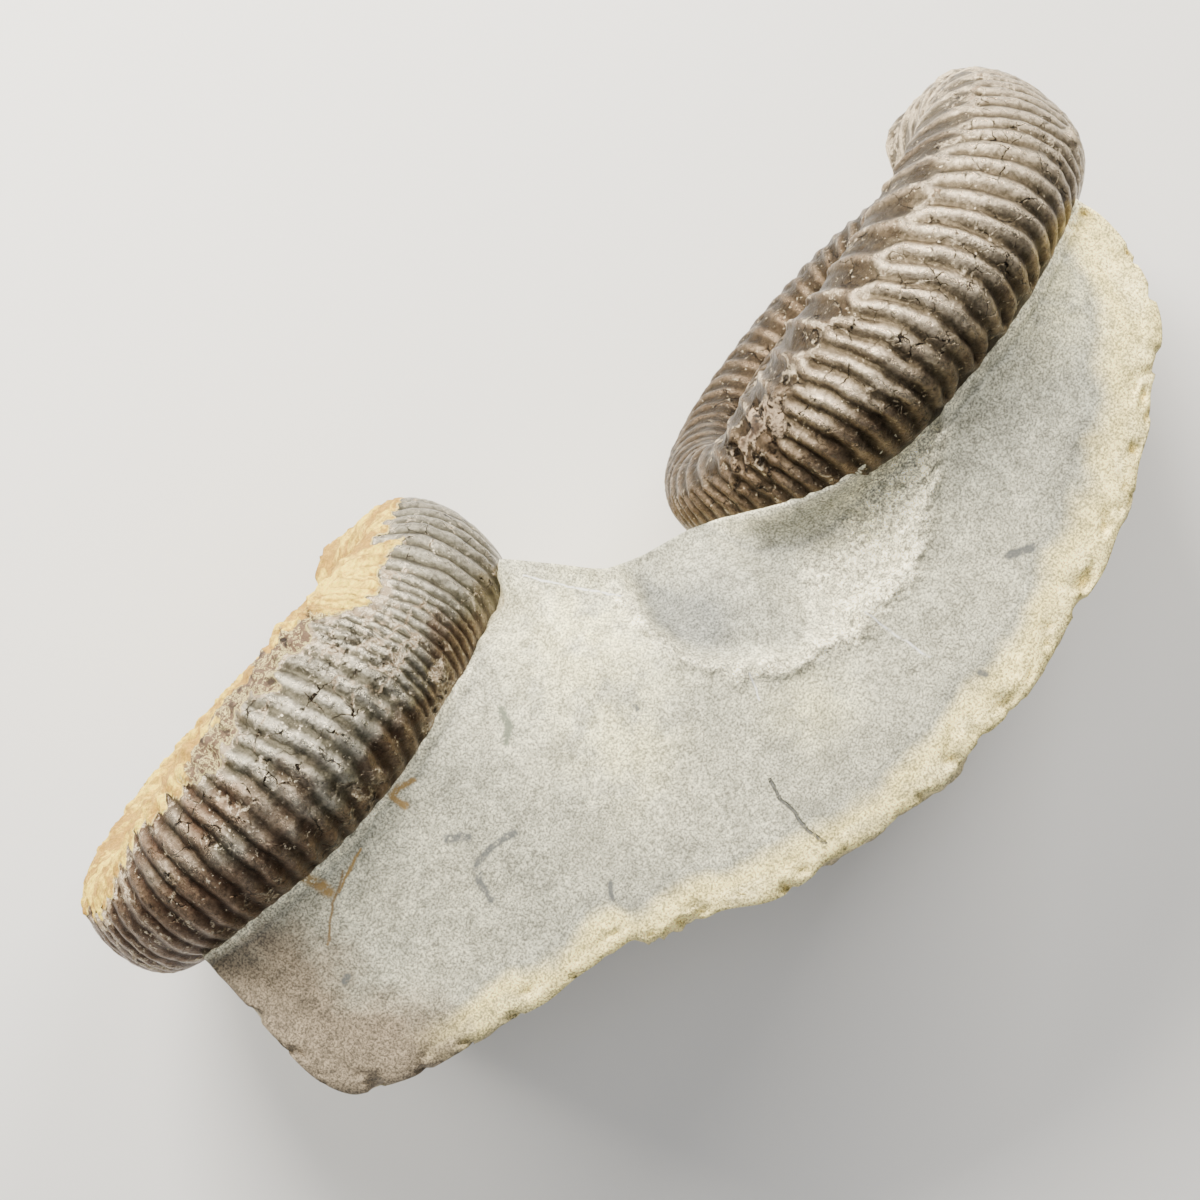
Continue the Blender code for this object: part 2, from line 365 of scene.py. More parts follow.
# ---- shell finishes ---------------------------------------------------------------------------
@dataclass(frozen=True)
class ShellFinish:
    """Polished fossil shell with dusty furrows and a crust of old sediment in places; its crests are
    painted lighter and its furrows darker, partly as painted highlight and shade.
    """

    name: str
    # crest colours lighter than furrow colours: partly the shell's own colour, partly painted
    # highlight and shade
    bright_crest: Colour
    bright_furrow: Colour
    dark_crest: Colour
    dark_furrow: Colour
    crust: Colour
    crust_deep: Colour
    crust_rim: Colour
    brown: Colour
    dust: Colour
    fleck: Colour
    crack: Colour
    gloss: float
    speckle: float
    metal: float = 0.95

    def sheet(self) -> bpy.types.Material:
        """Make the material.

        Returns:
            A material that reads the mesh's crest, tone (with painted highlight and shade), crust,
            dust and ruin numbers.
        """
        s = NodeSheet(self.name)
        fine = s.noise(0.20, 4.0, 0.7)
        medium = s.noise(0.8, 6.0, 0.7)
        wander = s.centred(medium)
        raised = s.step(0.1, 1.1, s.plus(s.attribute("crest"), wander))
        cracks, edges = self.cracks(s)
        shell = s.mix(cracks, self.polished(s, raised), self.crack)
        powder = s.plus(s.attribute("dust"), s.times(edges, 0.35))
        powder = s.plus(powder, s.times(wander, 1.5))
        dusted = s.times(s.step(0.38, 0.80, powder), 0.88)
        shell = s.mix(dusted, shell, s.grained(self.dust, fine, 0.3, 1.7))
        specks = s.step(0.61, 0.68, s.noise(0.4, 3.0, 0.65))
        flecks = s.times(specks, s.step(0.45, 0.6, s.noise(2.4, 3.0)))
        shell = s.mix(s.times(flecks, self.speckle), shell, self.fleck)
        shell = s.mix(s.times(self.threads(s, powder), 0.8), shell, self.fleck)
        ragged = s.plus(s.attribute("crust"), s.times(wander, 1.1))
        covered = s.step(0.42, 0.50, ragged)
        rim = s.times(covered, s.step(0.80, 0.55, ragged))
        colour = s.mix(covered, shell, self.crusted(s, rim))
        holes = s.step(0.54, 0.63, s.noise(1.2, 5.0, 0.65))
        pits = s.times(holes, s.step(0.4, 0.75, s.attribute("ruin")))
        colour = s.mix(s.times(pits, 0.9), colour, self.crack)
        worn = s.plus(self.gloss, s.times(wander, 0.4))
        worn = s.plus(worn, s.times(s.rest(raised), 0.12))
        dull = s.math("MAXIMUM", covered, dusted)
        normal = s.bump(medium, 0.12, s.bump(fine, 0.035))
        normal = s.bump(s.rest(cracks), 0.12, normal)
        normal = s.bump(s.times(covered, s.noise(0.6, 6.0, 0.75)), 0.40, normal)
        normal = s.bump(s.rest(pits), 0.25, normal)
        s.link(s.times(s.rest(dull), self.metal), s.shader.inputs["Metallic"])
        s.finish(colour, s.blend(dull, worn, 0.82), normal)
        return s.material

    def polished(self, s: NodeSheet, raised: Socket) -> Socket:
        """Colour the bare shell, bright or dark by its tone, which carries painted highlight and
        shade, and lighter on crests than in furrows, partly as painted highlight and shade.

        Args:
            s: the sheet drawn on.
            raised: 1 on a rib, 0 in a furrow.

        Returns:
            The colour.
        """
        patchy = s.plus(s.attribute("tone"), s.centred(s.noise(3.0, 4.0, 0.6)))
        # crests lighter, furrows darker: partly painted highlight and shade
        light = s.mix(raised, self.bright_furrow, self.bright_crest)
        dark = s.mix(raised, self.dark_furrow, self.dark_crest)
        shell = s.mix(s.step(0.0, 1.0, patchy), dark, light)
        return s.grained(shell, s.step(0.3, 0.7, s.noise(0.45, 5.0, 0.75)), 0.55, 1.5)

    def cracks(self, s: NodeSheet) -> tuple[Socket, Socket]:
        """Draw fine cracks in scattered patches.

        Args:
            s: the sheet drawn on.

        Returns:
            1 in a crack, and 1 along its pale edges.
        """
        away = s.cells(2.1, s.warped(1.1, 0.6))
        fractured = s.step(0.47, 0.56, s.noise(3.6, 3.0))
        cracks = s.times(s.step(0.030, 0.012, away), fractured)
        return cracks, s.times(s.step(0.11, 0.03, away), fractured)

    def threads(self, s: NodeSheet, powder: Socket) -> Socket:
        """Draw thin jagged pale threads where there is powder."""
        away = s.math("ABSOLUTE", s.centred(s.noise(1.2, 6.0, 0.7, 0.4)))
        return s.times(s.step(0.026, 0.008, away), s.step(0.30, 0.60, powder))

    def crusted(self, s: NodeSheet, rim: Socket) -> Socket:
        """Colour the crust: mottled, darker in the furrows, brown in places and pale at its rim.

        Args:
            s: the sheet drawn on.
            rim: 1 along the crust's rim.

        Returns:
            The colour.
        """
        patches = s.plus(s.noise(1.3, 6.0, 0.7), s.centred(s.noise(4.5, 3.0)))
        cover = s.mix(s.step(0.40, 0.60, patches), self.crust_deep, self.crust)
        hollow = s.step(0.45, 0.05, s.attribute("crest"))
        cover = s.mix(s.times(hollow, 0.7), cover, self.crust_deep)
        stained = s.plus(s.attribute("dust"), s.centred(s.noise(0.9, 5.0, 0.7)))
        brown = s.step(0.3, 0.7, stained)
        cover = s.mix(brown, cover, self.brown)
        cover = s.grained(cover, s.step(0.3, 0.7, s.noise(0.38, 4.0, 0.75)), 0.68, 1.4)
        pale = s.math("MAXIMUM", s.times(self.threads(s, brown), 0.75), s.times(rim, 0.6))
        return s.mix(pale, cover, self.crust_rim)


# ---- spirals ----------------------------------------------------------------------------------
@dataclass(frozen=True)
class Spiral:
    """Where a coiled shell stands and how it grew, in mm and degrees."""

    centre: Spot
    yaw: float
    lean: float  # how far its top leans back
    roll: float
    mouth: float  # angle round the coil, from +X over the top
    radius: float
    growth: float  # how many times wider a whorl is than the one before
    height: float  # of a whorl, as a share of its outer radius
    width: float
    buried: Stops  # where rock meets it: round the coil, round the whorl
    swell: Stops  # mm the newest whorl's front flank bulges
    deepened: Stops  # share of the radius its widest part sits deeper
    power: float = 2.3  # of a whorl's outline, 2 being an ellipse
    round_power: float = 2.0  # where it is deepened
    round_depth: float = 0.13
    closing: float = 5.2  # turns back from the mouth where the coil starts to close
    end: float = 6.0

    def axes(self) -> tuple[Vector, Vector, Vector]:
        """Find which way the coil faces.

        Returns:
            The directions along the coil, up the coil and out of its front.
        """
        yaw, lean, roll = (math.radians(a) for a in (self.yaw, self.lean, self.roll))
        level = Vector((math.cos(yaw), math.sin(yaw), 0))
        back = Vector((-math.sin(yaw), math.cos(yaw), 0))
        up = Vector((0, 0, 1))
        rise = math.cos(lean) * up + math.sin(lean) * back
        out = -math.cos(lean) * back + math.sin(lean) * up
        first = math.cos(roll) * level + math.sin(roll) * out
        return first, rise, -math.sin(roll) * level + math.cos(roll) * out

    def matrix(self) -> Matrix:
        """Give the matrix from the coil's own plane to its place."""
        turn = Matrix(self.axes()).transposed().to_4x4()
        return Matrix.Translation(Vector(self.centre)) @ turn

    def outer(self, back: float) -> float:
        """Give the outer radius, so many turns back from the mouth."""
        closing = 1 - 0.8 * smooth(self.closing, self.end, back)
        return self.radius * self.growth**-back * closing

    def angle(self, back: float) -> float:
        """Give the angle from +X over the top, in degrees."""
        return self.mouth - 360 * back

    def whorl(self, back: float) -> tuple[float, float, float, float, float]:
        """Measure the whorl's outline so many turns back from the mouth.

        Args:
            back: turns back from the mouth.

        Returns:
            Half heights outside and inside its widest part, half widths behind and in front, and
            the power of its outline.
        """
        outer = self.outer(back)
        newest = back < 1
        deep = along(self.deepened, self.angle(back)) if newest else 0.0
        over = outer * (self.height / 2 + deep)
        under = max(outer * self.height - over, 0.1 * outer)
        rear = outer * self.width / 2
        front = rear + (along(self.swell, self.angle(back)) if newest else 0.0)
        power = lerp(self.power, self.round_power, min(deep / self.round_depth, 1.0))
        return over, under, rear, front, power

    def section(self, back: float, psi: float) -> tuple[float, float, float, float]:
        """Find a point of the whorl's outline.

        Args:
            back: turns back from the mouth.
            psi: angle round the whorl in degrees, 0 at its outer edge and 90 at its front.

        Returns:
            Distance from the coil's axis, offset to the front, and the outward normal's parts
            along those two.
        """
        over, under, rear, front, power = self.whorl(back)
        c, s = math.cos(math.radians(psi)), math.sin(math.radians(psi))
        half_height = over if c > 0 else under
        half_width = front if s > 0 else rear
        reach = (abs(c) ** power + abs(s) ** power) ** (-1 / power)
        rho = self.outer(back) - over + half_height * reach * c
        offset = half_width * reach * s
        away = math.copysign(abs(c) ** (power - 1), c) / half_height
        aside = math.copysign(abs(s) ** (power - 1), s) / half_width
        size = math.hypot(away, aside)
        return rho, offset, away / size, aside / size

    def seat(self, back: float, offset: float) -> float:
        """Find where the next whorl sits on the one before it.

        Args:
            back: turns back from the mouth.
            offset: distance in front of the coil's own plane.

        Returns:
            The radius of the earlier whorl's outer side there, 0 where there is none.
        """
        outer = self.outer(back + 1)
        half_width = outer * self.width / 2
        if back + 1 >= self.end or abs(offset) >= half_width:
            return 0.0
        half_height = outer * self.height / 2
        bulge = (1 - (abs(offset) / half_width) ** self.power) ** (1 / self.power)
        return outer - half_height + half_height * bulge

    def contact(self, angle: float) -> Vector:
        """Find where the rock's upper face meets the newest whorl.

        Args:
            angle: angle round the coil, in degrees.

        Returns:
            The point, in mm.
        """
        rho, offset, _, _ = self.section((self.mouth - angle) / 360, along(self.buried, angle))
        turn = math.radians(angle)
        return self.matrix() @ Vector((rho * math.cos(turn), rho * math.sin(turn), offset))

    def clearance(self, point: Vector) -> Pair:
        """Measure roughly where a point lies from the newest whorl.

        Args:
            point: a point of the scene, in mm.

        Returns:
            The distance in mm, negative inside, and how many degrees round the whorl it is past
            the place where rock meets shell, positive on the bare side.
        """
        q = self.matrix().inverted() @ point
        back = (self.mouth - math.degrees(math.atan2(q.y, q.x))) / 360 % 1.0
        over, under, rear, front, power = self.whorl(back)
        rise = math.hypot(q.x, q.y) - self.outer(back) + over
        rise /= over if rise > 0 else under
        aside = q.z / (front if q.z > 0 else rear)
        gap = ((abs(rise) ** power + abs(aside) ** power) ** (1 / power) - 1) * over
        psi = math.degrees(math.atan2(aside, rise))
        return gap, psi - along(self.buried, self.angle(back))


@dataclass(frozen=True)
class Ribs:
    """How a shell is ribbed: fine ribs over the outer edge that join in pairs on the flanks."""

    crests: tuple[float, ...]  # angles round the coil where ribs cross the outer edge, newest first
    spacing: float  # degrees from rib to rib after those
    relief: float  # depth of a furrow at the mouth, in mm
    arch: Pair  # degrees a rib trails on both flanks: at the top, and more per degree
    sweep: Pair  # degrees its front end leads its rear end, in the same way
    strength: Stops  # angle round the coil and how deep furrows are
    top: float = 100.0  # angle round the coil that arch and sweep are given for
    reach: Pair = (-40.0, 60.0)  # how far either side of it they go on changing
    flank: float = 40.0  # place round the whorl that they are given for
    straight: float = 1.1  # beyond this many flanks the bow goes on as a straight slope
    bowed: float = 100.0  # and beyond this place round the whorl it goes no further
    join: Pair = (42.0, 62.0)  # where pairs join, in degrees round the whorl
    half_widths: Pair = (0.5, 0.86)  # of a single rib and of a joined pair, in ribs
    fade: Pair = (112.0, 142.0)  # where ribs fade out
    crown: float = 0.7  # how sharp single ribs are: below 1 they are broad and round
    ridge: float = 1.0  # how sharp joined ribs are on the newest whorl
    ridge_zone: Pair = (25.0, 45.0)  # where they get that sharp
    flank_share: float = 1.0  # how much of the relief joined ribs keep on the front flank

    def count(self, angle: float) -> float:
        """Count the ribs from the mouth to an angle.

        Args:
            angle: angle round the coil in degrees, going down from the mouth.

        Returns:
            The count, whole on a rib's crest.
        """
        last = len(self.crests) - 1
        if angle <= self.crests[last]:
            return last + (self.crests[last] - angle) / self.spacing
        i = max(bisect.bisect_left(self.crests, -angle, key=lambda crest: -crest), 1)
        before, after = self.crests[i - 1], self.crests[i]
        return i - 1 + (before - angle) / (before - after)

    def lead(self, angle: float, psi: float) -> float:
        """Bow a rib round the whorl.

        Args:
            angle: angle round the coil, in degrees.
            psi: angle round the whorl, in degrees.

        Returns:
            How many degrees ahead of its crest the rib is there.
        """
        past = min(max(angle - self.top, self.reach[0]), self.reach[1])
        arch = self.arch[0] + self.arch[1] * past
        sweep = self.sweep[0] + self.sweep[1] * past
        t = max(min(psi, self.bowed), -self.bowed) / self.flank
        k = self.straight
        bow = t * t if abs(t) < k else k * k + 2 * k * (abs(t) - k)
        return sweep * t - arch * bow

    def crest(self, angle: float, psi: float, drift: float, ridge: float) -> float:
        """Give the height of the ribbing.

        Args:
            angle: angle round the coil, in degrees.
            psi: angle round the whorl, in degrees.
            drift: how far the ribs wander here, in ribs.
            ridge: how sharp joined ribs are here.

        Returns:
            1 on a rib's crest, 0 in a furrow.
        """
        joined = smooth(*self.join, abs(psi))
        place = (self.count(angle - self.lead(angle, psi)) + drift) % 2.0
        first, second = 0.5 * joined, 1 - 0.5 * joined
        nearest = min(abs(place - c) for c in (second - 2, first, second, first + 2))
        half_width = lerp(*self.half_widths, joined)
        wave = 0.5 + 0.5 * math.cos(math.pi * min(nearest / half_width, 1.0))
        return wave ** lerp(self.crown, ridge, joined)


@dataclass(frozen=True)
class Surface:
    """What covers a place on a shell, each from 0 to 1."""

    crust: float
    tone: float  # how bright the bare shell is: its own colour zones, with painted highlight and shade
    dust: float
    ruin: float  # how broken it is


@dataclass(frozen=True)
class OchreCover:
    """Golden crust over the front flank and inner whorls; silver at the top, brown at the end, and
    painted shade darkening the rear side.
    """

    edge: Stops = (
        (-132.0, 70.0), (0.0, 55.0), (34.0, 46.0), (50.0, 62.0), (58.0, 68.0), (76.0, 63.0),
        (85.0, 55.0), (93.0, 60.0), (100.0, 67.0), (108.0, 60.0), (115.0, 66.0), (121.0, 56.0),
        (128.0, 57.0), (132.0, 48.0), (137.0, 41.0), (145.0, 49.0), (152.0, 50.0), (163.0, 66.0),
        (200.0, 66.0), (228.0, 60.0),
    )  # angle round the coil, and where the crust starts round the whorl
    fingers: float = 18.0  # how much further it runs along a rib's crest near the +X end
    finger_zone: Pair = (96.0, 70.0)
    brown_zone: Zone = (70.0, 88.0, 122.0, 136.0)
    knob_zone: Zone = (96.0, 108.0, 128.0, 140.0)
    crackle_zone: Zone = (112.0, 120.0, 142.0, 152.0)
    silver_zone: Pair = (52.0, 108.0)
    rear_zone: Pair = (14.0, -30.0)  # round the whorl, where painted shade turns the rear side from silver to brown
    rear_end: Pair = (166.0, 140.0)  # round the coil, where it doesn't

    def at(self, back: float, angle: float, psi: float, crest: float, place: Vector) -> Surface:
        """Say what covers a place.

        Args:
            back: turns back from the mouth.
            angle: angle round the coil, in degrees.
            psi: angle round the whorl, in degrees.
            crest: 1 on a rib, 0 in a furrow.
            place: the point in mm.

        Returns:
            The cover there.
        """
        ragged = lumps(place, 2.2, 4)
        if back >= 1.0:
            crust = smooth(-25.0, 15.0, psi + 25 * ragged) * (0.8 + 0.35 * ragged)
            brown = 0.5 * smooth(0.0, 0.5, lumps(place, 3.0, shift=(1, 8, 3)))
            return Surface(unit(crust), 0.6 - brown, brown, 0.15)
        start = along(self.edge, angle)
        start -= self.fingers * (crest - 0.5) * smooth(*self.finger_zone, angle)
        past = psi - start + 13 * ragged
        crust = smooth(-3.0, 3.0, past)
        brown = within(self.brown_zone, angle) * smooth(24.0, 14.0, past + 8 * lumps(place, 1.4))
        # painted shade: the rear side, turned from the lamps, darkens towards the brown
        rear = smooth(*self.rear_zone, psi + 30 * lumps(place, 4.0, shift=(9, 4, 1)))
        rear *= smooth(*self.rear_end, angle)
        tone = smooth(*self.silver_zone, angle + 26 * lumps(place, 6.0)) * (1 - 0.8 * rear)
        knobs = smooth(0.0, -18.0, psi) * within(self.knob_zone, angle)
        knobs *= smooth(-0.15, 0.3, lumps(place, 3.5, shift=(4, 4, 4)))
        tone = lerp(tone, 0.3, 0.7 * knobs)
        crackle = within(self.crackle_zone, angle) * smooth(-4.0, 12.0, psi)
        dust = 0.45 * bell(past, 7) + 0.5 * knobs + 0.3 * crackle
        dust += 0.25 * smooth(172.0, 195.0, angle) + 0.22 * smooth(75.0, 40.0, angle)
        dust += 0.2 * smooth(-0.1, 0.5, lumps(place, 3.5))
        dust = lerp(dust, brown, crust)
        ruin = 0.7 * knobs + 0.25 * crackle + 0.25 * crust + 0.4 * brown
        return Surface(crust, tone, min(dust, 1.0), min(ruin, 1.0))


@dataclass(frozen=True)
class TanCover:
    """A crackled tan band along the shoulder, dusted ridges beyond it, a broken patch, a painted
    highlight on the front shoulder and painted shade on the rear side.
    """

    band: Stops = (
        (40.0, 64.0), (62.0, 60.0), (75.0, 50.0), (90.0, 45.0), (107.0, 48.0), (125.0, 52.0),
        (150.0, 54.0), (206.0, 50.0),
    )  # angle round the coil, and where the band runs round the whorl
    band_width: float = 4.0
    broken_at: Pair = (52.0, 46.0)  # round the coil and round the whorl
    broken_reach: Pair = (15.0, 25.0)
    middle_zone: Zone = (66.0, 80.0, 112.0, 128.0)
    # where the shell brightens towards the mouth: partly its own colour, partly painted light
    upper_zone: Pair = (20.0, 42.0)
    bright_zone: Pair = (50.0, 112.0)
    dusty_zone: Pair = (132.0, 172.0)

    def at(self, back: float, angle: float, psi: float, crest: float, place: Vector) -> Surface:
        """Say what covers a place.

        Args:
            back: turns back from the mouth.
            angle: angle round the coil, in degrees.
            psi: angle round the whorl, in degrees.
            crest: 1 on a rib, 0 in a furrow.
            place: the point in mm.

        Returns:
            The cover there.
        """
        ragged = lumps(place, 2.0, 4)
        if back >= 1.0:
            pale = 0.8 * lumps(place, 3.0, 4, (3, 7, 2))
            return Surface(0.35 * max(ragged, 0.0), 0.15, unit(pale), 0.12)
        round_coil = (angle - self.broken_at[0]) / self.broken_reach[0]
        round_whorl = (psi - self.broken_at[1]) / self.broken_reach[1]
        ruin = smooth(1.2, 0.7, math.hypot(round_coil, round_whorl) + 0.7 * ragged)
        beyond = psi - along(self.band, angle) + 7 * ragged
        strip = bell(beyond, self.band_width) * smooth(30.0, 60.0, angle)
        strip *= smooth(-0.35, 0.25, lumps(place, 1.5, shift=(6, 2, 5)))
        flank = smooth(2.0, 9.0, beyond)
        upper = smooth(*self.upper_zone, angle)
        ridge = flank * smooth(0.8, 1.1, crest + 0.7 * ragged) * upper
        middle = bell(psi - 6 + 12 * ragged, 7) * within(self.middle_zone, angle)
        middle *= smooth(-0.1, 0.3, lumps(place, 3.0))
        tone = smooth(*self.bright_zone, angle + 16 * lumps(place, 6.0))
        # painted highlight along the front shoulder
        tone += 0.45 * bell(psi - 26, 20) * smooth(48.0, 70.0, angle)
        tone = lerp(0.2, min(tone, 1.0), upper)
        # painted shade on the rear side
        tone *= 1 - 0.75 * smooth(0.0, -38.0, psi + 14 * ragged) * smooth(160.0, 132.0, angle)
        tone = lerp(tone, 0.12, 0.8 * flank * smooth(160.0, 136.0, angle))
        dust = 0.55 * strip + 0.15 * ruin + 0.5 * ridge + 0.25 * middle
        dust += 0.35 * smooth(*self.dusty_zone, angle + 14 * ragged)
        dust += 0.15 * smooth(0.0, 0.5, lumps(place, 3.0))
        crust = max(0.6 * ruin * (0.7 + 1.2 * ragged), strip * (0.32 + 0.8 * ragged))
        broken = min(ruin + 0.3 * strip + 0.3 * middle + 0.3 * ridge, 1.0)
        return Surface(unit(crust), tone, min(dust, 1.0), broken)


@dataclass
class Ammonite:
    """One shell: its coil, its ribs, what covers it, and its finish."""

    node: str
    spiral: Spiral
    ribs: Ribs
    cover: OchreCover | TanCover
    finish: ShellFinish
    sides: tuple[int, int] = (96, 60)  # points round the newest whorl, and round the inner ones
    turns: int = 6
    rings: tuple[float, ...] = (11.5, 6.0, 3.5, 2.0, 1.5, 1.0)  # rings a rib, newest turn first
    overlap: float = 0.004  # how far, in turns, the inner whorls reach into the newest one
    bed: float = 0.15  # mm a whorl sinks into the one before it
    wander: float = 0.16  # how far ribs stray, in ribs
    crust_depth: float = 0.34  # mm
    ruin_depth: float = 0.6  # mm
    nodule: Spot | None = None  # a ring of grit: angle, place and radius
    nodule_height: float = 0.55  # mm
    nodule_width: float = 0.32  # mm
    mouth_steps: Stops = ((0.95, 0.0), (0.9, 0.9), (0.6, 1.3), (0.25, 1.1))  # scale and depth

    def stations(self, start: float, stop: float) -> list[float]:
        """List the rings of a stretch, closer together where ribs are.

        Args:
            start: where the stretch starts, in turns back from the mouth.
            stop: where it stops.

        Returns:
            Its rings, in turns back from the mouth.
        """
        rows = []
        back = start
        while back < stop:
            rows.append(back)
            here = self.spiral.angle(back)
            pitch = 1 / max(self.ribs.count(here - 1) - self.ribs.count(here), 0.1)
            back += pitch / self.rings[int(back)] / 360
        return [*rows, stop]

    def skin(self, back: float, psi: float) -> tuple[Vector, Surface, float]:
        """Find one point of the shell.

        Args:
            back: turns back from the mouth.
            psi: angle round the whorl, in degrees.

        Returns:
            The point in the coil's own plane, what covers it, and the rib height there.
        """
        rho, offset, away, aside = self.spiral.section(back, psi)
        angle = self.spiral.angle(back)
        turn = math.radians(angle)
        place = Vector((rho * math.cos(turn), rho * math.sin(turn), offset))
        newest = back < 1
        sharp = smooth(*self.ribs.ridge_zone, angle) if newest else 0.0
        ridge = lerp(1.0, self.ribs.ridge, sharp)
        crest = self.ribs.crest(angle, psi, self.wander * lumps(place, 4.0, 2), ridge)
        cover = self.cover.at(back, angle, psi, crest, place)
        size = (self.spiral.outer(back) / self.spiral.radius) ** 0.8
        shown = 1 - smooth(*self.ribs.fade, abs(psi))
        strength = 1 + 0.5 * lumps(place, 3.5, shift=(2, 5, 8))
        strength *= 1 - 0.25 * cover.crust - 0.5 * cover.ruin
        strength *= lerp(1.0, self.ribs.flank_share, smooth(*self.ribs.join, psi))
        clear = 1.0
        if newest:
            strength *= along(self.ribs.strength, angle)
            clear = smooth(-4.0, 14.0, psi - along(self.spiral.buried, angle))
        relief = -self.ribs.relief * size * max(strength, 0.0) * shown * clear * (1 - crest)
        flakes = lumps(place, 1.0, 4)
        relief += self.crust_depth * cover.crust * (0.5 + 0.8 * flakes)
        relief += self.ruin_depth * cover.ruin * clear * lumps(place, 1.5, 4)
        relief += size * clear * (0.09 * lumps(place, 1.6, 4) + 0.05 * smooth(0.1, 0.25, flakes))
        if self.nodule and newest:
            ring = self.ring(angle, psi, self.spiral.outer(back))
            relief += self.nodule_height * ring
            cover = replace(cover, dust=max(cover.dust, ring))
        rho += relief * away
        offset += relief * aside
        rho = max(rho, self.spiral.seat(back, offset) - self.bed)
        return Vector((rho * math.cos(turn), rho * math.sin(turn), offset)), cover, crest

    def ring(self, angle: float, psi: float, outer: float) -> float:
        """Shape the ring of grit.

        Args:
            angle: angle round the coil, in degrees.
            psi: angle round the whorl, in degrees.
            outer: the whorl's outer radius there, in mm.

        Returns:
            1 on the ring's crest, 0 off it.
        """
        at_angle, at_psi, radius = self.nodule
        round_coil = math.radians(angle - at_angle) * outer
        round_whorl = math.radians(psi - at_psi) * outer * self.spiral.width / 2
        return bell(math.hypot(round_coil, round_whorl) - radius, self.nodule_width)

    def build(self) -> list[bpy.types.Object]:
        """Model the shell.

        Returns:
            The finished pieces: the newest whorl, and the inner whorls that it runs on from.
        """
        sheet = self.finish.sheet()
        newest = self.stations(0.0, 1.0)
        inner = self.stations(1.0 - self.overlap, self.turns)
        return [
            self.model("outer_whorl", newest, self.sides[0], sheet),
            self.model("inner_whorls", inner, self.sides[1], sheet),
        ]

    def model(self, stretch: str, rows: list[float], sides: int,
              sheet: bpy.types.Material) -> bpy.types.Object:
        """Model a stretch of the shell.

        Args:
            stretch: what it is called.
            rows: its rings, in turns back from the mouth.
            sides: points round each ring.
            sheet: its finish.

        Returns:
            The finished piece.
        """
        bm = bmesh.new()
        names = ("crest", "crust", "tone", "dust", "ruin")
        layers = {name: bm.verts.layers.float.new(name) for name in names}
        last = len(rows) - 1
        bmesh.ops.create_grid(bm, x_segments=last, y_segments=sides, size=1.0)
        for vert in bm.verts:
            row = rows[round((vert.co.x + 1) / 2 * last)]
            step = round((vert.co.y + 1) / 2 * sides) % sides
            across = 1 - 2 * step / sides
            psi = 180 * (0.8 * across + 0.2 * across**3)
            vert.co, cover, crest = self.skin(row, psi)
            values = (crest, cover.crust, cover.tone, cover.dust, cover.ruin)
            for layer, value in zip(layers.values(), values):
                vert[layer] = value
        bmesh.ops.remove_doubles(bm, verts=bm.verts, dist=0.0001)
        if rows[0] == 0.0:
            self.close_mouth(bm, layers)
        bmesh.ops.holes_fill(bm, edges=[e for e in bm.edges if e.is_boundary], sides=0)
        bmesh.ops.recalc_face_normals(bm, faces=bm.faces)
        bmesh.ops.transform(bm, matrix=self.spiral.matrix(), verts=bm.verts)
        piece = as_piece(bm, f"{self.node}_{stretch}", sheet)
        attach(piece, BODY)
        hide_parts(self.node)
        return piece

    def close_mouth(self, bm: bmesh.types.BMesh, layers: dict) -> None:
        """Turn the shell's edge in at the mouth and fill it with rock a little way down.

        Args:
            bm: the shell's mesh, open at the mouth.
            layers: the mesh's number layers by name.
        """
        outer = self.spiral.outer(0.0)
        turn = math.radians(self.spiral.mouth)
        out = Vector((math.cos(turn), math.sin(turn), 0))
        back = Vector((math.sin(turn), -math.cos(turn), 0))
        centre = out * outer * (1 - self.spiral.height / 2)
        half = outer * self.spiral.width / 2
        loop = [
            e for e in bm.edges if e.is_boundary
            and all((v.co - centre).length < half * 1.5 for v in e.verts)
        ]
        rim = {v: v.co.copy() for e in loop for v in e.verts}
        for scale, depth in self.mouth_steps:
            grown = bmesh.ops.extrude_edge_only(bm, edges=loop)["geom"]
            fresh = [g for g in grown if isinstance(g, bmesh.types.BMVert)]
            loop = [g for g in grown if isinstance(g, bmesh.types.BMEdge) and g.is_boundary]
            moved = {}
            for vert in fresh:
                start = next(rim[v] for e in vert.link_edges if (v := e.other_vert(vert)) in rim)
                moved[vert] = start
                rough = 0.35 * depth * lumps(start * scale, 1.5)
                vert.co = centre + (start - centre) * scale + back * (depth + rough)
                vert[layers["crust"]] = 0.9 * min(depth, 1.0)
            rim = moved


def as_piece(bm: bmesh.types.BMesh, name: str, material: bpy.types.Material) -> bpy.types.Object:
    """Turn a finished bmesh in mm into an object in metres.

    Args:
        bm: the mesh, which is freed.
        name: the piece's name.
        material: its finish.

    Returns:
        The object, shaded smooth.
    """
    bmesh.ops.scale(bm, vec=(MM, MM, MM), verts=bm.verts)
    mesh = bpy.data.meshes.new(name)
    bm.to_mesh(mesh)
    bm.free()
    mesh.shade_smooth()
    mesh.materials.append(material)
    piece = bpy.data.objects.new(name, mesh)
    bpy.context.scene.collection.objects.link(piece)
    LOG.info("%s: %d points, %d faces", name, len(mesh.vertices), len(mesh.polygons))
    return piece


# ---- rock -------------------------------------------------------------------------------------
class Trace(Enum):
    """The kinds of small mark on the ground face."""

    DARK = "dark"
    GREEN = "green"
    CALCITE = "calcite"
    OCHRE = "ochre"
    BROWN = "brown"
    CRACK = "crack"


@dataclass(frozen=True)
class Mark:
    """A thin mark on the ground face: the points it runs through and its width, in mm."""

    kind: Trace
    width: float
    points: Stops


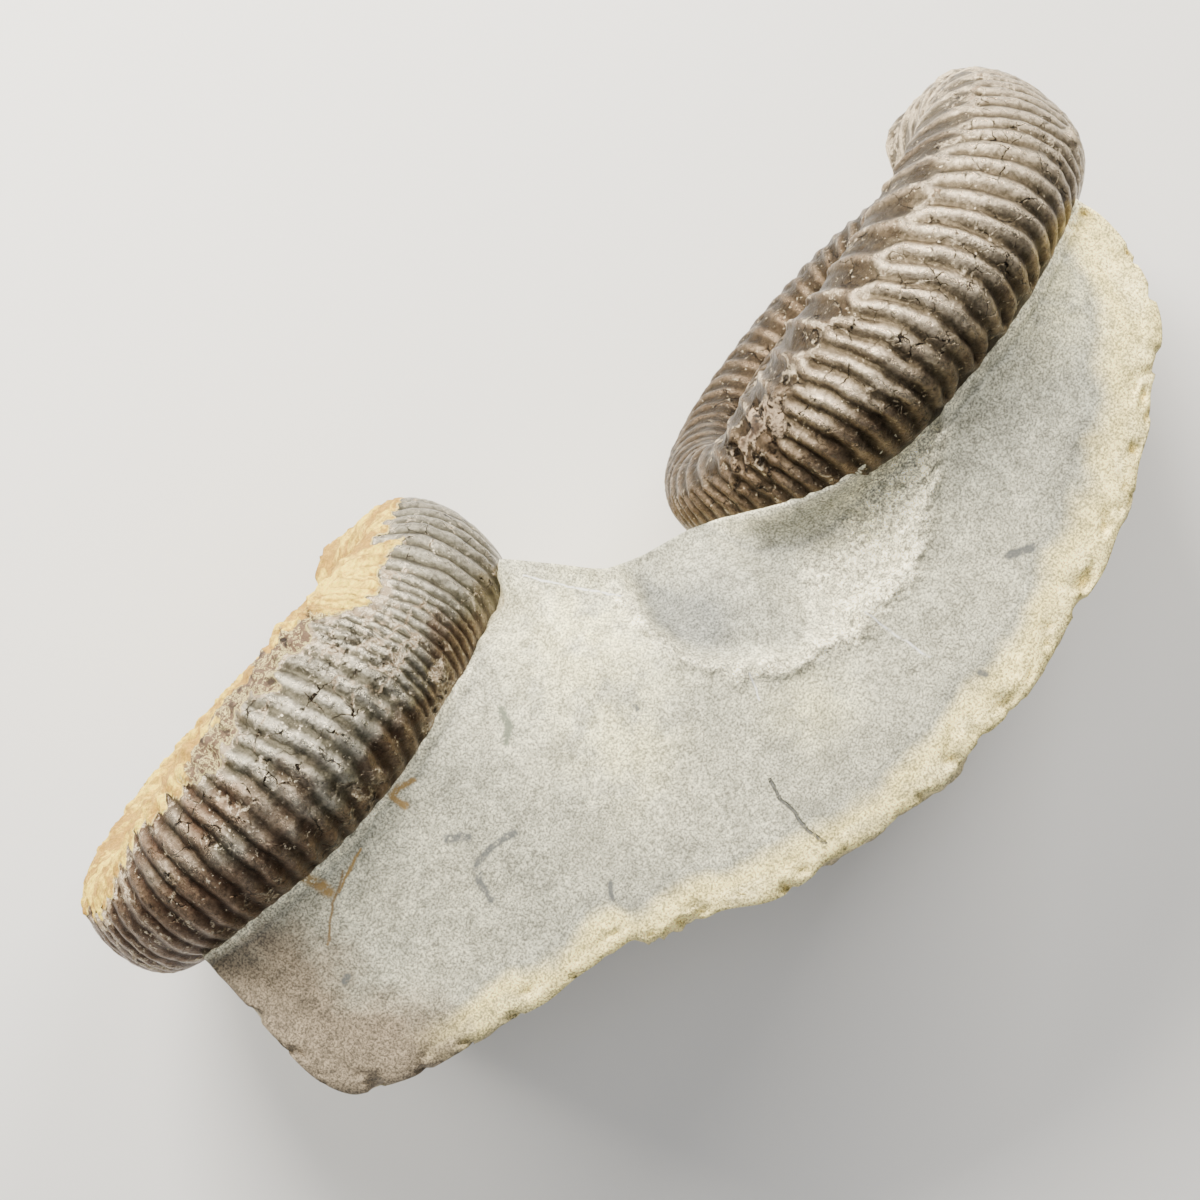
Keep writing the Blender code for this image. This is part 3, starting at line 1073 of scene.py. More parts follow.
MARKS = (
    Mark(Trace.GREEN, 0.55, ((16.5, -4.0), (17.1, -2.5), (18.1, -1.9))),
    Mark(Trace.DARK, 0.45, ((22.9, 4.2), (24.7, 3.9), (26.5, 3.9), (27.5, 4.3))),
    Mark(Trace.DARK, 0.5, ((27.3, 4.4), (28.0, 5.5), (28.2, 6.9))),
    Mark(Trace.DARK, 0.55, ((27.3, 0.6), (25.9, 1.8))),
    Mark(Trace.DARK, 0.3, ((19.9, 13.0), (20.7, 14.1))),
    Mark(Trace.DARK, 0.5, ((-23.8, 16.2), (-25.7, 17.2))),
    Mark(Trace.DARK, 0.4, ((41.7, 3.3), (42.2, 3.5))),
    Mark(Trace.DARK, 0.45, ((-15.2, 21.8), (-15.4, 22.1))),
    Mark(Trace.DARK, 0.3, ((8.0, 3.6), (8.1, 3.9))),
    Mark(Trace.CRACK, 0.2, ((4.0, 16.0), (4.6, 17.9), (4.4, 19.5), (4.7, 21.3), (4.4, 23.1))),
    Mark(Trace.CALCITE, 0.12, ((7.3, -11.2), (5.4, -8.3), (2.4, -4.0))),
    Mark(Trace.CALCITE, 0.12, ((-11.7, 11.4), (-12.3, 14.9), (-13.0, 17.9))),
    Mark(Trace.CALCITE, 0.1, ((-1.1, 8.2), (0.0, 10.5))),
    Mark(Trace.OCHRE, 0.45, ((26.0, -4.9), (27.2, -5.4), (28.1, -5.2), (27.9, -3.9))),
    Mark(Trace.OCHRE, 0.75, ((38.2, -6.0), (37.9, -4.6), (37.6, -3.1))),
    Mark(Trace.BROWN, 0.17, ((35.4, -3.4), (37.9, -2.2), (40.9, 0.2))),
    Mark(Trace.OCHRE, 0.16, ((33.0, -3.8), (35.1, -3.1), (36.9, -2.5))),
)


@dataclass(frozen=True)
class RockFinish:
    """Ground nodule stone: bluish grey inside, cream where it weathered, with fine pale grit."""

    name: str = "ground nodule stone"
    grey: Colour = (0.40, 0.39, 0.295)
    pale_grey: Colour = (0.56, 0.535, 0.39)
    cream: Colour = (0.98, 0.82, 0.33)
    warm: Colour = (0.78, 0.73, 0.44)
    white: Colour = (1.0, 0.94, 0.68)
    shadow_line: Colour = (0.17, 0.178, 0.165)
    # painted shade: the darker, browner colour laid over the +X end
    end_shade: Colour = (0.24, 0.19, 0.125)
    skin: Colour = (0.54, 0.44, 0.28)
    marks: tuple[tuple[Trace, Colour], ...] = (
        (Trace.DARK, (0.11, 0.115, 0.11)),
        (Trace.GREEN, (0.15, 0.17, 0.12)),
        (Trace.CALCITE, (0.85, 0.85, 0.82)),
        (Trace.OCHRE, (0.30, 0.18, 0.05)),
        (Trace.BROWN, (0.20, 0.125, 0.05)),
        (Trace.CRACK, (0.10, 0.10, 0.09)),
    )

    def sheet(self) -> bpy.types.Material:
        """Make the material.

        Returns:
            A material that reads the mesh's rind, scuff, seam, warm, painted end shade, painted shade
            and hidden numbers.
        """
        s = NodeSheet(self.name)
        grain = s.noise(0.2, 2.0, 0.8)
        grit = s.noise(0.7, 6.0, 0.75)
        hidden = s.attribute("hidden")
        scuffed = s.times(s.attribute("scuff"), s.step(0.34, 0.50, grit))
        stone = self.worked(s, self.ground(s), grit, scuffed)
        pale_skin = s.mix(0.4, self.skin, self.cream)
        weathered = s.mix(s.step(0.3, 0.7, s.noise(5.0, 6.0, 0.65)), self.skin, pale_skin)
        stone = s.mix(hidden, stone, weathered)
        stone = s.grained(stone, s.step(0.34, 0.66, grain), 0.42, 1.56)
        stone = s.grained(stone, s.step(0.3, 0.7, s.noise(1.1, 5.0, 0.7)), 0.72, 1.24)
        stone = s.grained(stone, s.step(0.34, 0.66, s.noise(3.2, 5.0, 0.65)), 0.86, 1.12)
        drifting = s.warped(1.5, 0.3)
        masks = {}
        for kind, colour in self.marks:
            masks[kind] = s.times(self.mark_mask(s, kind, drifting), s.rest(hidden))
            stone = s.mix(s.times(masks[kind], 0.9), stone, colour)
        rough = s.plus(s.attribute("scuff"), hidden, clamp=True)
        normal = s.bump(s.times(grit, rough), 0.50, s.bump(grain, 0.07))
        normal = s.bump(s.rest(masks[Trace.CRACK]), 0.25, normal)
        s.finish(stone, s.blend(scuffed, 0.72, 0.9), normal)
        return s.material

    def ground(self, s: NodeSheet) -> Socket:
        """Colour the ground face: clouded grey, with its weathered rind, and painted shade, darker and
        browner, over the +X end.

        Args:
            s: the sheet drawn on.

        Returns:
            The colour.
        """
        cloud = s.step(0.3, 0.7, s.noise(14.0, 4.0, 0.6, 0.4))
        stone = s.mix(cloud, self.grey, self.pale_grey)
        patch = s.times(s.attribute("warm"), s.step(0.3, 0.6, s.noise(3.0, 5.0)))
        stone = s.mix(patch, stone, self.warm)
        ragged = s.plus(s.attribute("rind"), s.times(s.centred(s.noise(4.0, 6.0, 0.6)), 0.55))
        band = s.times(s.step(0.0, 0.3, ragged), s.step(0.62, 0.3, ragged))
        stone = s.mix(s.times(band, 0.22), stone, self.shadow_line)
        stone = s.mix(s.step(0.22, 1.0, ragged), stone, self.cream)
        stone = s.mix(s.times(s.step(0.9, 1.15, ragged), 0.3), stone, self.white)
        # painted shade: darker and browner towards the +X end
        dull = s.plus(s.attribute("end_shade"), s.centred(s.noise(8.0, 5.0, 0.6)))
        return s.mix(s.step(0.2, 0.8, dull), stone, self.end_shade)

    def worked(self, s: NodeSheet, stone: Socket, grit: Socket, scuffed: Socket) -> Socket:
        """Colour what the maker's tools left, scuffs and the seams at the shells, and paint shade into
        the dent, the hollow and the groove.

        Args:
            s: the sheet drawn on.
            stone: the stone's colour.
            grit: a noise for its grit.
            scuffed: 1 where it is scuffed.

        Returns:
            The colour.
        """
        crumbs = s.step(0.40, 0.60, s.noise(0.42, 5.0, 0.75))
        stone = s.mix(scuffed, stone, self.white)
        stone = s.mix(s.attribute("scuff"), stone, s.grained(stone, crumbs, 0.55, 1.4))
        seam = s.times(s.attribute("seam"), s.step(0.3, 0.55, grit))
        stone = s.mix(s.times(seam, 0.75), stone, self.white)
        # painted shade in the dent, the hollow, the groove and a few patches
        return s.mix(s.times(s.attribute("shade"), 0.85), stone, self.shadow_line)

    def mark_mask(self, s: NodeSheet, kind: Trace, place: Socket) -> Socket:
        """Draw every mark of one kind.

        Args:
            s: the sheet drawn on.
            kind: the kind of mark.
            place: the coordinates it is drawn in.

        Returns:
            1 on a mark, 0 off it.
        """
        flat = s.vector("MULTIPLY", a=place, b=(1.0, 1.0, 0.0))
        mask: Socket | float = 0.0
        for mark in (m for m in MARKS if m.kind is kind):
            for p, q in zip(mark.points, mark.points[1:]):
                start = Vector((*p, 0.0)) * MM
                run = Vector((*q, 0.0)) * MM - start
                reach = s.vector("SUBTRACT", a=flat, b=tuple(start))
                share = s.vector("DOT_PRODUCT", "Value", a=reach, b=tuple(run / run.length_squared))
                foot = s.vector("SCALE", a=tuple(run), scale=s.plus(share, 0.0, clamp=True))
                away = s.vector("DISTANCE", "Value", a=reach, b=foot)
                near = s.step(mark.width * MM, mark.width * MM * 0.35, away)
                mask = s.math("MAXIMUM", mask, near)
        return s.times(mask, s.step(0.3, 0.5, s.noise(0.6, 4.0, 0.7)))


@dataclass
class Rock:
    """The block: ground upper face, natural rounded back, flat cut end and flat base."""

    coils: tuple[Spiral, ...]
    finish: RockFinish = field(default_factory=RockFinish)
    node: str = "matrix"
    lines: list[list[Vector]] = field(init=False)  # where the upper face meets each coil
    columns: int = 300  # steps of the upper face from end to end
    rows: int = 100  # and from front to back
    levels: int = 40  # steps of the sides from top to base
    rim: Curve = Curve((
        (50.1, -3.5), (50.3, 3.0), (50.3, 6.9), (49.8, 9.2), (48.6, 11.2), (46.3, 12.4),
        (43.3, 13.7), (39.9, 14.6), (35.2, 15.5), (30.9, 16.7), (27.8, 16.9), (23.7, 17.6),
        (21.9, 17.9), (20.6, 19.3), (17.9, 20.2), (14.7, 21.3), (11.1, 23.6), (7.4, 24.5),
        (5.4, 24.4), (1.2, 25.7), (-2.0, 25.9), (-5.7, 26.6), (-10.7, 26.1), (-15.8, 26.1),
        (-18.7, 25.5), (-24.5, 23.9), (-28.8, 23.0), (-32.2, 21.4), (-34.9, 20.4),
        (-37.5, 18.5), (-40.5, 16.8), (-42.7, 14.7), (-45.4, 13.2), (-47.5, 11.3),
        (-48.6, 9.5), (-49.5, 7.0), (-50.2, 4.4), (-50.4, 1.5), (-50.0, -1.5),
    ))  # natural edge of the upper face, from the +X end round the back
    saddle: Curve = Curve((
        (9.0, -14.6), (7.9, -13.9), (6.5, -12.3), (4.2, -9.6), (2.6, -7.6), (1.6, -6.6),
        (0.1, -5.9), (-1.7, -5.2), (-4.1, -4.6), (-6.0, -4.1), (-8.5, -3.0), (-13.0, -0.2),
    ))  # front edge between the coils
    front_ends: Pair = (50.0, -49.6)  # x of the front's two ends
    front_depth: float = 3.8  # how far it lies behind the middle of a coil
    near_blend: Pair = (-1.5, 1.5)  # mm past the saddle's +X end, where it turns to the near coil
    far_blend: Pair = (4.0, 8.0)  # mm past the saddle's -X end, where it turns to the far coil
    front_slope: float = 0.02  # mm it goes back for each mm down, between the coils
    foot: float = 14.0  # below this height the front drops straight down
    line_steps: int = 60  # steps of the line where the upper face meets a coil
    middle: Pair = (-0.1, 3.0)
    crown: float = 43.4  # height of the upper face
    crown_fall: float = 3.0  # how far that falls to its ends
    half_length: float = 55.0  # of the upper face
    end_rounding: float = 0.6  # its -X end is rounded as if it lay this far inside the edge
    saddle_height: float = 37.5
    saddle_spread: float = 6.5
    fillet: float = 6.0  # how far from a coil the face starts to rise to it
    chipped: float = 1.6  # how far from the natural edge chips reach
    rounded: float = 0.55  # and how far its rounding does
    rind_width: Stops = (
        (0.0, 4.5), (0.2, 4.0), (0.4, 4.2), (0.6, 4.6), (0.8, 5.6), (1.0, 7.5),
    )  # share of the way round that edge, and how wide the rind is there
    scoop: Curve = Curve((
        (2.6, -7.4), (1.9, -4.5), (2.6, -0.9), (2.5, 2.2), (0.8, 5.6), (-0.5, 7.5), (-3.5, 9.9),
        (-6.1, 11.0), (-10.2, 12.3), (-13.0, 11.3), (-15.3, 11.7), (-16.7, 11.5), (-19.0, 9.8),
        (-22.8, 7.6), (-26.1, 4.9),
    ))  # edge of the hollow carved beside the far coil
    scoop_depth: float = 1.6
    scoop_zone: Zone = (-0.2, 2.2, 4.0, 12.0)  # mm inside that edge, where it is deep
    hollow_zone: Zone = (0.6, 2.4, 7.0, 13.0)  # and where it is shaded
    dent: Pair = (0.4, -1.2)
    dent_reach: Pair = (1.3, 3.0)
    dent_depth: float = 0.8
    warm_spots: tuple[Spot, ...] = (
        (7.0, -3.0, 6.5), (-17.5, 6.5, 3.2), (11.0, 6.0, 4.0), (-44.0, -1.0, 8.0), (-3.0, 14.0, 3.5),
    )  # x, y and reach
    sunk: float = 5.0  # how far the rock drops inside a coil
    lap: float = 3.5  # the most it rises to lap over a coil
    bare_zone: Pair = (-7.0, 5.0)  # degrees past the meeting line, where rock gives way to shell
    seam_zone: Pair = (-22.0, -8.0)  # and where the seam of grit starts
    seam_width: float = 0.7
    groove: Spot = (1.2, 0.3, 0.18)  # scraped beside a coil, with painted shade in it: how far off, half its width, its depth
    shade_spots: tuple[tuple[float, float, float, float], ...] = (
        (-33.0, 9.0, 9.0, 0.3), (-0.9, 2.2, 3.2, 0.95), (-15.2, 1.9, 5.0, 0.2), (-2.0, 19.0, 8.0, 0.2),
    )  # x, y, reach and strength of patches of painted shade
    end_shade_zone: Pair = (30.0, 54.0)  # where painted shade darkens and browns the +X end
    pits: tuple[Spot, ...] = (
        (-48.6, 0.7, 0.55), (-10.1, 23.7, 0.5), (-11.4, 25.2, 0.6), (-10.9, 18.0, 0.4),
        (-47.6, -1.6, 0.5),
    )  # x, y and radius
    pit_depth: float = 0.5  # as a share of the radius
    belly: float = 1.3  # how far the back bulges half way up
    tuck_height: float = 9.0  # below this the sides turn in to the base
    tuck: Pair = (3.2, 2.6)  # how far they turn in, at the back and at the front

    def __post_init__(self) -> None:
        """Trace where the upper face meets each coil, from +X to -X."""
        self.lines = []
        for coil in self.coils:
            low, high = coil.buried[0][0], coil.buried[-1][0]
            steps = range(self.line_steps + 1)
            angles = [lerp(low, high, k / self.line_steps) for k in steps]
            self.lines.append([coil.contact(angle) for angle in angles])

    def front(self, x: float, height: float) -> float:
        """Find the front of the block.

        Args:
            x: distance along the block, in mm.
            height: height above the base, in mm.

        Returns:
            The y of its front there.
        """
        ys = []
        for coil in self.coils:
            _, _, out = coil.axes()
            centre = Vector(coil.centre)
            drop = -self.front_depth - out.x * (x - centre.x) - out.z * (height - centre.z)
            ys.append(centre.y + drop / out.y)
        right, left = self.saddle.points[0][0], self.saddle.points[-1][0]
        inner = self.saddle_y(min(max(x, left), right)) + self.front_slope * (self.crown - height)
        y = lerp(inner, ys[0], smooth(*self.near_blend, x - right))
        return lerp(y, ys[1], smooth(*self.far_blend, left - x))

    def saddle_y(self, x: float) -> float:
        """Read the front edge between the coils.

        Args:
            x: distance along the block, in mm.

        Returns:
            The edge's y there.
        """
        for (x1, y1), (x0, y0) in zip(self.saddle.points, self.saddle.points[1:]):
            if x >= x0:
                return lerp(y0, y1, (x - x0) / (x1 - x0))
        return self.saddle.points[-1][1]

    def base_height(self, p: Vector) -> float:
        """Find the smooth height of the upper face, before any carving.

        Args:
            p: a point on the upper face, in mm.

        Returns:
            Its height in mm.
        """
        crown = self.crown - self.crown_fall * ((p.x - self.middle[0]) / self.half_length) ** 2
        gap = self.saddle.side(p)[0]
        crown -= (self.crown - self.saddle_height) * bell(gap, self.saddle_spread)
        height = crown
        for line in self.lines:
            if not line[0].x > p.x > line[-1].x:
                continue
            i = next(i for i in range(1, len(line)) if line[i].x <= p.x)
            a, b = line[i - 1], line[i]
            meet = a.lerp(b, (a.x - p.x) / (a.x - b.x))
            ends = min(line[0].x - p.x, p.x - line[-1].x)
            behind = max(p.y - meet.y, 0.0)
            drop = math.exp(-behind / self.fillet) * smooth(0.0, 4.0, ends)
            height += (meet.z - crown) * drop
        return height

    def carve(self, p: Vector) -> tuple[float, float, float]:
        """Work out the carved hollow.

        Args:
            p: a point on the upper face, in mm.

        Returns:
            Change of height in mm, how scuffed the stone is, and how much painted shade the dent and
            the hollow get.
        """
        away, share = self.scoop.side(p)
        place = Vector((p.x, p.y, 0.0))
        inside = away + 0.7 * lumps(place, 3.0)
        depth = self.scoop_depth * within(self.scoop_zone, inside)
        lip = bell(inside, 0.7) * (0.35 + 0.45 * lumps(place, 0.8, 4))
        rough_zone = smooth(0.45, 0.62, share) * smooth(7.5, 2.0, abs(inside - 2.0))
        scuff = bell(inside, 0.95) * smooth(0.0, 0.12, share)
        scuff = min(scuff + 0.85 * rough_zone * smooth(-0.6, 0.8, inside), 1.0)
        grit = 0.28 * scuff * lumps(place, 0.7, 4)
        dent = bell(p.x - self.dent[0], self.dent_reach[0])
        dent *= bell(p.y - self.dent[1], self.dent_reach[1])
        hollow = within(self.hollow_zone, inside) * (1 - scuff)
        return lip + grit - depth - self.dent_depth * dent, scuff, dent + 0.28 * hollow

    def face(self, p: Vector, to_rim: float, share: float) -> tuple[float, dict[str, float]]:
        """Work out one point of the upper face.

        Args:
            p: the point, in mm.
            to_rim: distance to the natural edge, in mm.
            share: how far round that edge it is, from 0 to 1.

        Returns:
            Its height in mm, and what the finish needs to know there.
        """
        place = Vector((p.x, p.y, 0.0))
        height = self.base_height(p)
        change, scuff, dent = self.carve(p)
        height += change + 0.06 * lumps(place, 9.0)
        chips = smooth(0.15, 0.6, lumps(place, 2.2, 4, (5, 1, 9)))
        height -= math.exp(-to_rim / self.rounded) * (0.5 + 1.2 * chips)
        height -= 0.9 * bell(to_rim, self.chipped) * chips
        for x, y, radius in self.pits:
            height -= self.pit_depth * radius * math.exp(-((math.dist(p, (x, y)) / radius) ** 4))
        spot = Vector((p.x, p.y, height))
        gap, beyond = min(coil.clearance(spot) for coil in self.coils)
        bare = smooth(*self.bare_zone, beyond)
        height -= self.sunk * smooth(-0.4, -2.5, gap) * bare
        height += min(max(0.3 - gap, 0.0) * 1.25, self.lap) * (1 - bare)
        seam = bell(max(gap, 0.0), self.seam_width) * smooth(*self.seam_zone, beyond)
        height += seam * smooth(-0.3, 0.2, gap) * (0.1 + 0.35 * lumps(place, 0.8, 4))
        off, half_width, depth = self.groove
        groove = bell(gap - off - 0.5 * lumps(place, 3.0), half_width)
        height -= depth * groove
        width = along(self.rind_width, share)
        rind = 1 - smooth(0.35 * width, 1.35 * width, to_rim + 1.2 * lumps(place, 6.0))
        warm = sum(bell(math.dist(p, (x, y)), reach) for x, y, reach in self.warm_spots)
        # patches of painted shade
        spot_shade = sum(
            strength * bell(math.dist(p, (x, y)), reach) for x, y, reach, strength in self.shade_spots
        )
        tint = {
            "rind": rind, "scuff": scuff, "seam": seam, "warm": min(warm, 1.0),
            # painted shade over the +X end
            "end_shade": smooth(*self.end_shade_zone, p.x + 0.35 * p.y),
            # painted shade in the dent, the hollow, the groove and a few patches
            "shade": min(dent + 0.35 * groove + spot_shade, 1.0), "hidden": 0.0,
        }
        return height, tint

    def build(self) -> bpy.types.Object:
        """Model the block.

        Returns:
            The finished piece.
        """
        bm = bmesh.new()
        names = ("rind", "scuff", "seam", "warm", "end_shade", "shade", "hidden")
        layers = {name: bm.verts.layers.float.new(name) for name in names}
        across = bm.verts.layers.float.new("across")
        bmesh.ops.create_grid(bm, x_segments=self.columns, y_segments=self.rows, size=1.0)
        right, left = self.front_ends
        for vert in bm.verts:
            share, v = (vert.co.x + 1) / 2, (vert.co.y + 1) / 2
            x = lerp(right, left, share)
            start = Vector((x, self.front(x, self.crown)))
            end = self.rim.at(share)
            p = start + (end - start) * v
            to_end = 2 * self.half_length * (1 - share) + self.end_rounding
            to_rim = min((end - start).length * (1 - v), to_end)
            height, tint = self.face(p, to_rim, share)
            vert.co = Vector((p.x, p.y, height))
            vert[across] = v
            for name, value in tint.items():
                vert[layers[name]] = value
        self.drop_sides(bm, layers, across)
        bmesh.ops.recalc_face_normals(bm, faces=bm.faces)
        piece = as_piece(bm, "nodule_rock", self.finish.sheet())
        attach(piece, BODY)
        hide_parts(self.node)
        return piece

    def drop_sides(self, bm: bmesh.types.BMesh, layers: dict, across: object) -> None:
        """Pull the rim down to the base, shape the sides and close the base.

        Args:
            bm: the block's mesh.
            layers: the mesh's number layers by name.
            across: the layer that says how far from front to back a point is.
        """
        down = bm.verts.layers.float.new("down")
        rim = [e for e in bm.edges if e.is_boundary]
        grown = bmesh.ops.extrude_edge_only(bm, edges=rim)["geom"]
        low = {g for g in grown if isinstance(g, bmesh.types.BMVert)}
        posts = [e for v in low for e in v.link_edges if e.other_vert(v) not in low]
        heights = {}
        for vert in low:
            top = next(e.other_vert(vert) for e in vert.link_edges if e.other_vert(vert) not in low)
            heights[(round(top.co.x, 4), round(top.co.y, 4))] = top.co.z
            vert.co.z = 0.0
            vert[down] = 1.0
        bmesh.ops.subdivide_edges(bm, edges=posts, cuts=self.levels, use_grid_fill=True)
        for vert in bm.verts:
            if vert[down] > 0:
                self.shape_wall(vert, vert[across], heights, layers)
        base = [e for e in bm.edges if e.is_boundary]
        bmesh.ops.contextual_create(bm, geom=base)

    def shape_wall(self, vert: bmesh.types.BMVert, v: float, heights: dict, layers: dict) -> None:
        """Move one point of the sides to its place.

        Args:
            vert: the point, straight below its place on the rim.
            v: 0 at the front of the block, 1 at the back.
            heights: the rim's height by place.
            layers: the mesh's number layers by name.
        """
        p = Vector((vert.co.x, vert.co.y))
        z = vert.co.z
        top = heights[(round(p.x, 4), round(p.y, 4))]
        natural = smooth(0.15, 0.85, v)
        tucked = smooth(self.tuck_height, 0.0, z) ** 2
        bulge = self.belly * math.sin(math.pi * min(z / top, 1.0)) - self.tuck[0] * tucked
        place = Vector((p.x, p.y, z))
        down = smooth(0.0, 2.0, top - z)
        bulge += natural * down * (0.9 * lumps(place, 8.0) + 0.3 * lumps(place, 1.8, 4))
        bulge += (1 - natural) * down * 0.4 * lumps(place, 2.5, 4)
        back = (p - Vector(self.middle)).normalized() * bulge
        front_y = self.front(p.x, max(z, self.foot)) - self.front(p.x, self.crown)
        front_y += self.tuck[1] * tucked + 0.35 * down * lumps(place, 2.0, 4)
        move = Vector((0.0, front_y)).lerp(back, natural)
        vert.co = Vector((p.x + move.x, p.y + move.y, max(z, 0.0)))
        vert[layers["hidden"]] = smooth(0.3, 2.5, top - z) * lerp(0.35, 1.0, natural)
        for name in ("scuff", "seam"):
            vert[layers[name]] *= 1 - down


# ---- studio -----------------------------------------------------------------------------------
@dataclass(frozen=True)
class Light:
    """A soft square lamp: where it hangs in mm, how wide it is, its power and its colour."""

    name: str
    place: Spot
    width: float
    watts: float
    colour: Colour

    def hang(self, target: Vector) -> None:
        """Hang the lamp.

        Args:
            target: where it shines, in metres.
        """
        data = bpy.data.lights.new(self.name, "AREA")
        data.shape = "SQUARE"
        data.size = self.width * MM
        data.energy = self.watts
        data.color = self.colour
        lamp = bpy.data.objects.new(self.name, data)
        lamp.location = Vector(self.place) * MM
        lamp.rotation_euler = (target - lamp.location).to_track_quat("-Z", "Y").to_euler()
        bpy.context.scene.collection.objects.link(lamp)


@dataclass(frozen=True)
class Studio:
    """A pale floor, soft lamps and a camera straight above the ground face."""

    eye: Spot = (3.9, -5.0, 226.9)
    aim: Spot = (0.0, 0.0, 25.0)  # where the lamps shine
    view_angle: float = 31.0
    turn: float = 136.26  # turn about the line of sight, in degrees from +X
    floor_width: float = 1400.0
    floor_colour: Colour = (0.80, 0.79, 0.77)
    floor_pale: Colour = (0.84, 0.83, 0.81)
    world_colour: Colour = (0.9, 0.94, 1.0)
    world_strength: float = 0.10
    lights: tuple[Light, ...] = (
        Light("key", (-60.0, -240.0, 240.0), 120.0, 2.7, (1.0, 0.95, 0.86)),
        Light("side", (-260.0, -110.0, 190.0), 140.0, 1.2, (1.0, 0.96, 0.89)),
        Light("sweep", (120.0, -300.0, 130.0), 110.0, 1.2, (1.0, 0.95, 0.84)),
        Light("fill", (260.0, 160.0, 320.0), 300.0, 0.5, (0.95, 0.97, 1.0)),
        Light("top", (60.0, -60.0, 480.0), 200.0, 0.6, (1.0, 1.0, 1.0)),
    )

    def build(self) -> None:
        """Lay the floor, hang the lamps and place the camera."""
        self.lay_floor()
        self.light_world()
        for light in self.lights:
            light.hang(Vector(self.aim) * MM)
        self.place_camera()

    def lay_floor(self) -> None:
        """Lay a wide pale floor just under the base."""
        bm = bmesh.new()
        bmesh.ops.create_grid(bm, x_segments=1, y_segments=1, size=self.floor_width / 2)
        s = NodeSheet("pale floor")
        tint = s.mix(s.noise(60.0, 3.0), self.floor_colour, self.floor_pale)
        s.finish(tint, 0.85, s.bump(s.noise(1.5, 3.0), 0.02))
        as_piece(bm, "floor", s.material)

    def light_world(self) -> None:
        """Give the world an even pale light."""
        world = bpy.data.worlds.new("studio")
        world.use_nodes = True
        background = world.node_tree.nodes["Background"]
        background.inputs["Color"].default_value = (*self.world_colour, 1.0)
        background.inputs["Strength"].default_value = self.world_strength
        bpy.context.scene.world = world

    def place_camera(self) -> None:
        """Look straight down at the ground face, with the picture turned to its own upright."""
        data = bpy.data.cameras.new("camera")
        data.sensor_fit = "HORIZONTAL"
        data.angle = math.radians(self.view_angle)
        data.clip_start = 0.01
        camera = bpy.data.objects.new("camera", data)
        camera.location = Vector(self.eye) * MM
        camera.rotation_euler = (0.0, 0.0, math.radians(self.turn))
        bpy.context.scene.collection.objects.link(camera)
        bpy.context.scene.camera = camera


# ---- the piece --------------------------------------------------------------------------------
NEAR = Spiral(
    (35.3, -15.3, 25.5), 5.7, 13.2, 1.9, 228.0, 29.3, 1.49, 0.40, 0.505,
    buried=(
        (36.0, -60.0), (50.0, -54.0), (60.0, -50.0), (68.0, -50.0), (75.0, -54.0), (84.0, -60.0),
        (94.0, -64.0), (104.0, -61.0), (112.0, -58.0), (120.0, -51.0), (129.0, -42.0),
        (139.0, -37.0), (147.0, -27.0), (156.0, -22.0), (168.0, -18.0), (176.0, -16.0),
    ),
    swell=(
        (30.0, 0.0), (60.0, 2.0), (90.0, 3.0), (125.0, 3.1), (150.0, 2.1), (180.0, 1.0), (222.0, 0.0),
    ),
    deepened=((20.0, 0.0), (55.0, 0.13), (140.0, 0.13), (190.0, 0.0)),
)
FAR = Spiral(
    (-29.1, -6.4, 25.5), 8.3, 11.4, -0.2, 206.0, 29.9, 1.60, 0.40, 0.50,
    buried=(
        (8.0, 20.0), (23.0, 18.0), (35.0, 11.0), (44.0, -1.0), (51.0, -12.0), (57.0, -21.0),
        (64.0, -31.0), (75.0, -47.0), (90.0, -59.0), (110.0, -62.0), (130.0, -56.0), (150.0, -52.0),
    ),
    swell=(
        (30.0, 0.0), (50.0, 1.2), (80.0, 2.4), (110.0, 2.5), (150.0, 2.2), (180.0, 1.2), (206.0, 0.0),
    ),
    deepened=((20.0, 0.0), (55.0, 0.13), (130.0, 0.13), (178.0, 0.0)),
)
NEAR_RIBS = Ribs(
    crests=(
        228.0, 222.2, 216.4, 210.5, 204.5, 198.5, 192.5, 186.5, 180.5, 174.5, 169.5, 164.8, 159.0,
        154.0, 149.2, 145.3, 142.9, 140.4, 138.0, 135.6, 133.2, 130.8, 128.5, 126.3, 124.1, 121.8,
        117.2, 112.9, 108.0, 102.9, 98.1, 93.6, 88.8, 83.9, 79.1, 74.3, 69.2, 64.1, 59.1, 53.6,
        49.0, 43.2, 38.0,
    ),
    spacing=4.7, relief=0.54, arch=(1.05, -0.03), sweep=(-0.25, -0.009), join=(72.0, 92.0),
    strength=(
        (-132.0, 0.9), (40.0, 0.6), (68.0, 0.85), (84.0, 1.05), (112.0, 0.95), (122.0, 0.5),
        (142.0, 0.5), (150.0, 0.85), (165.0, 0.85), (180.0, 0.8), (228.0, 0.8),
    ),
)
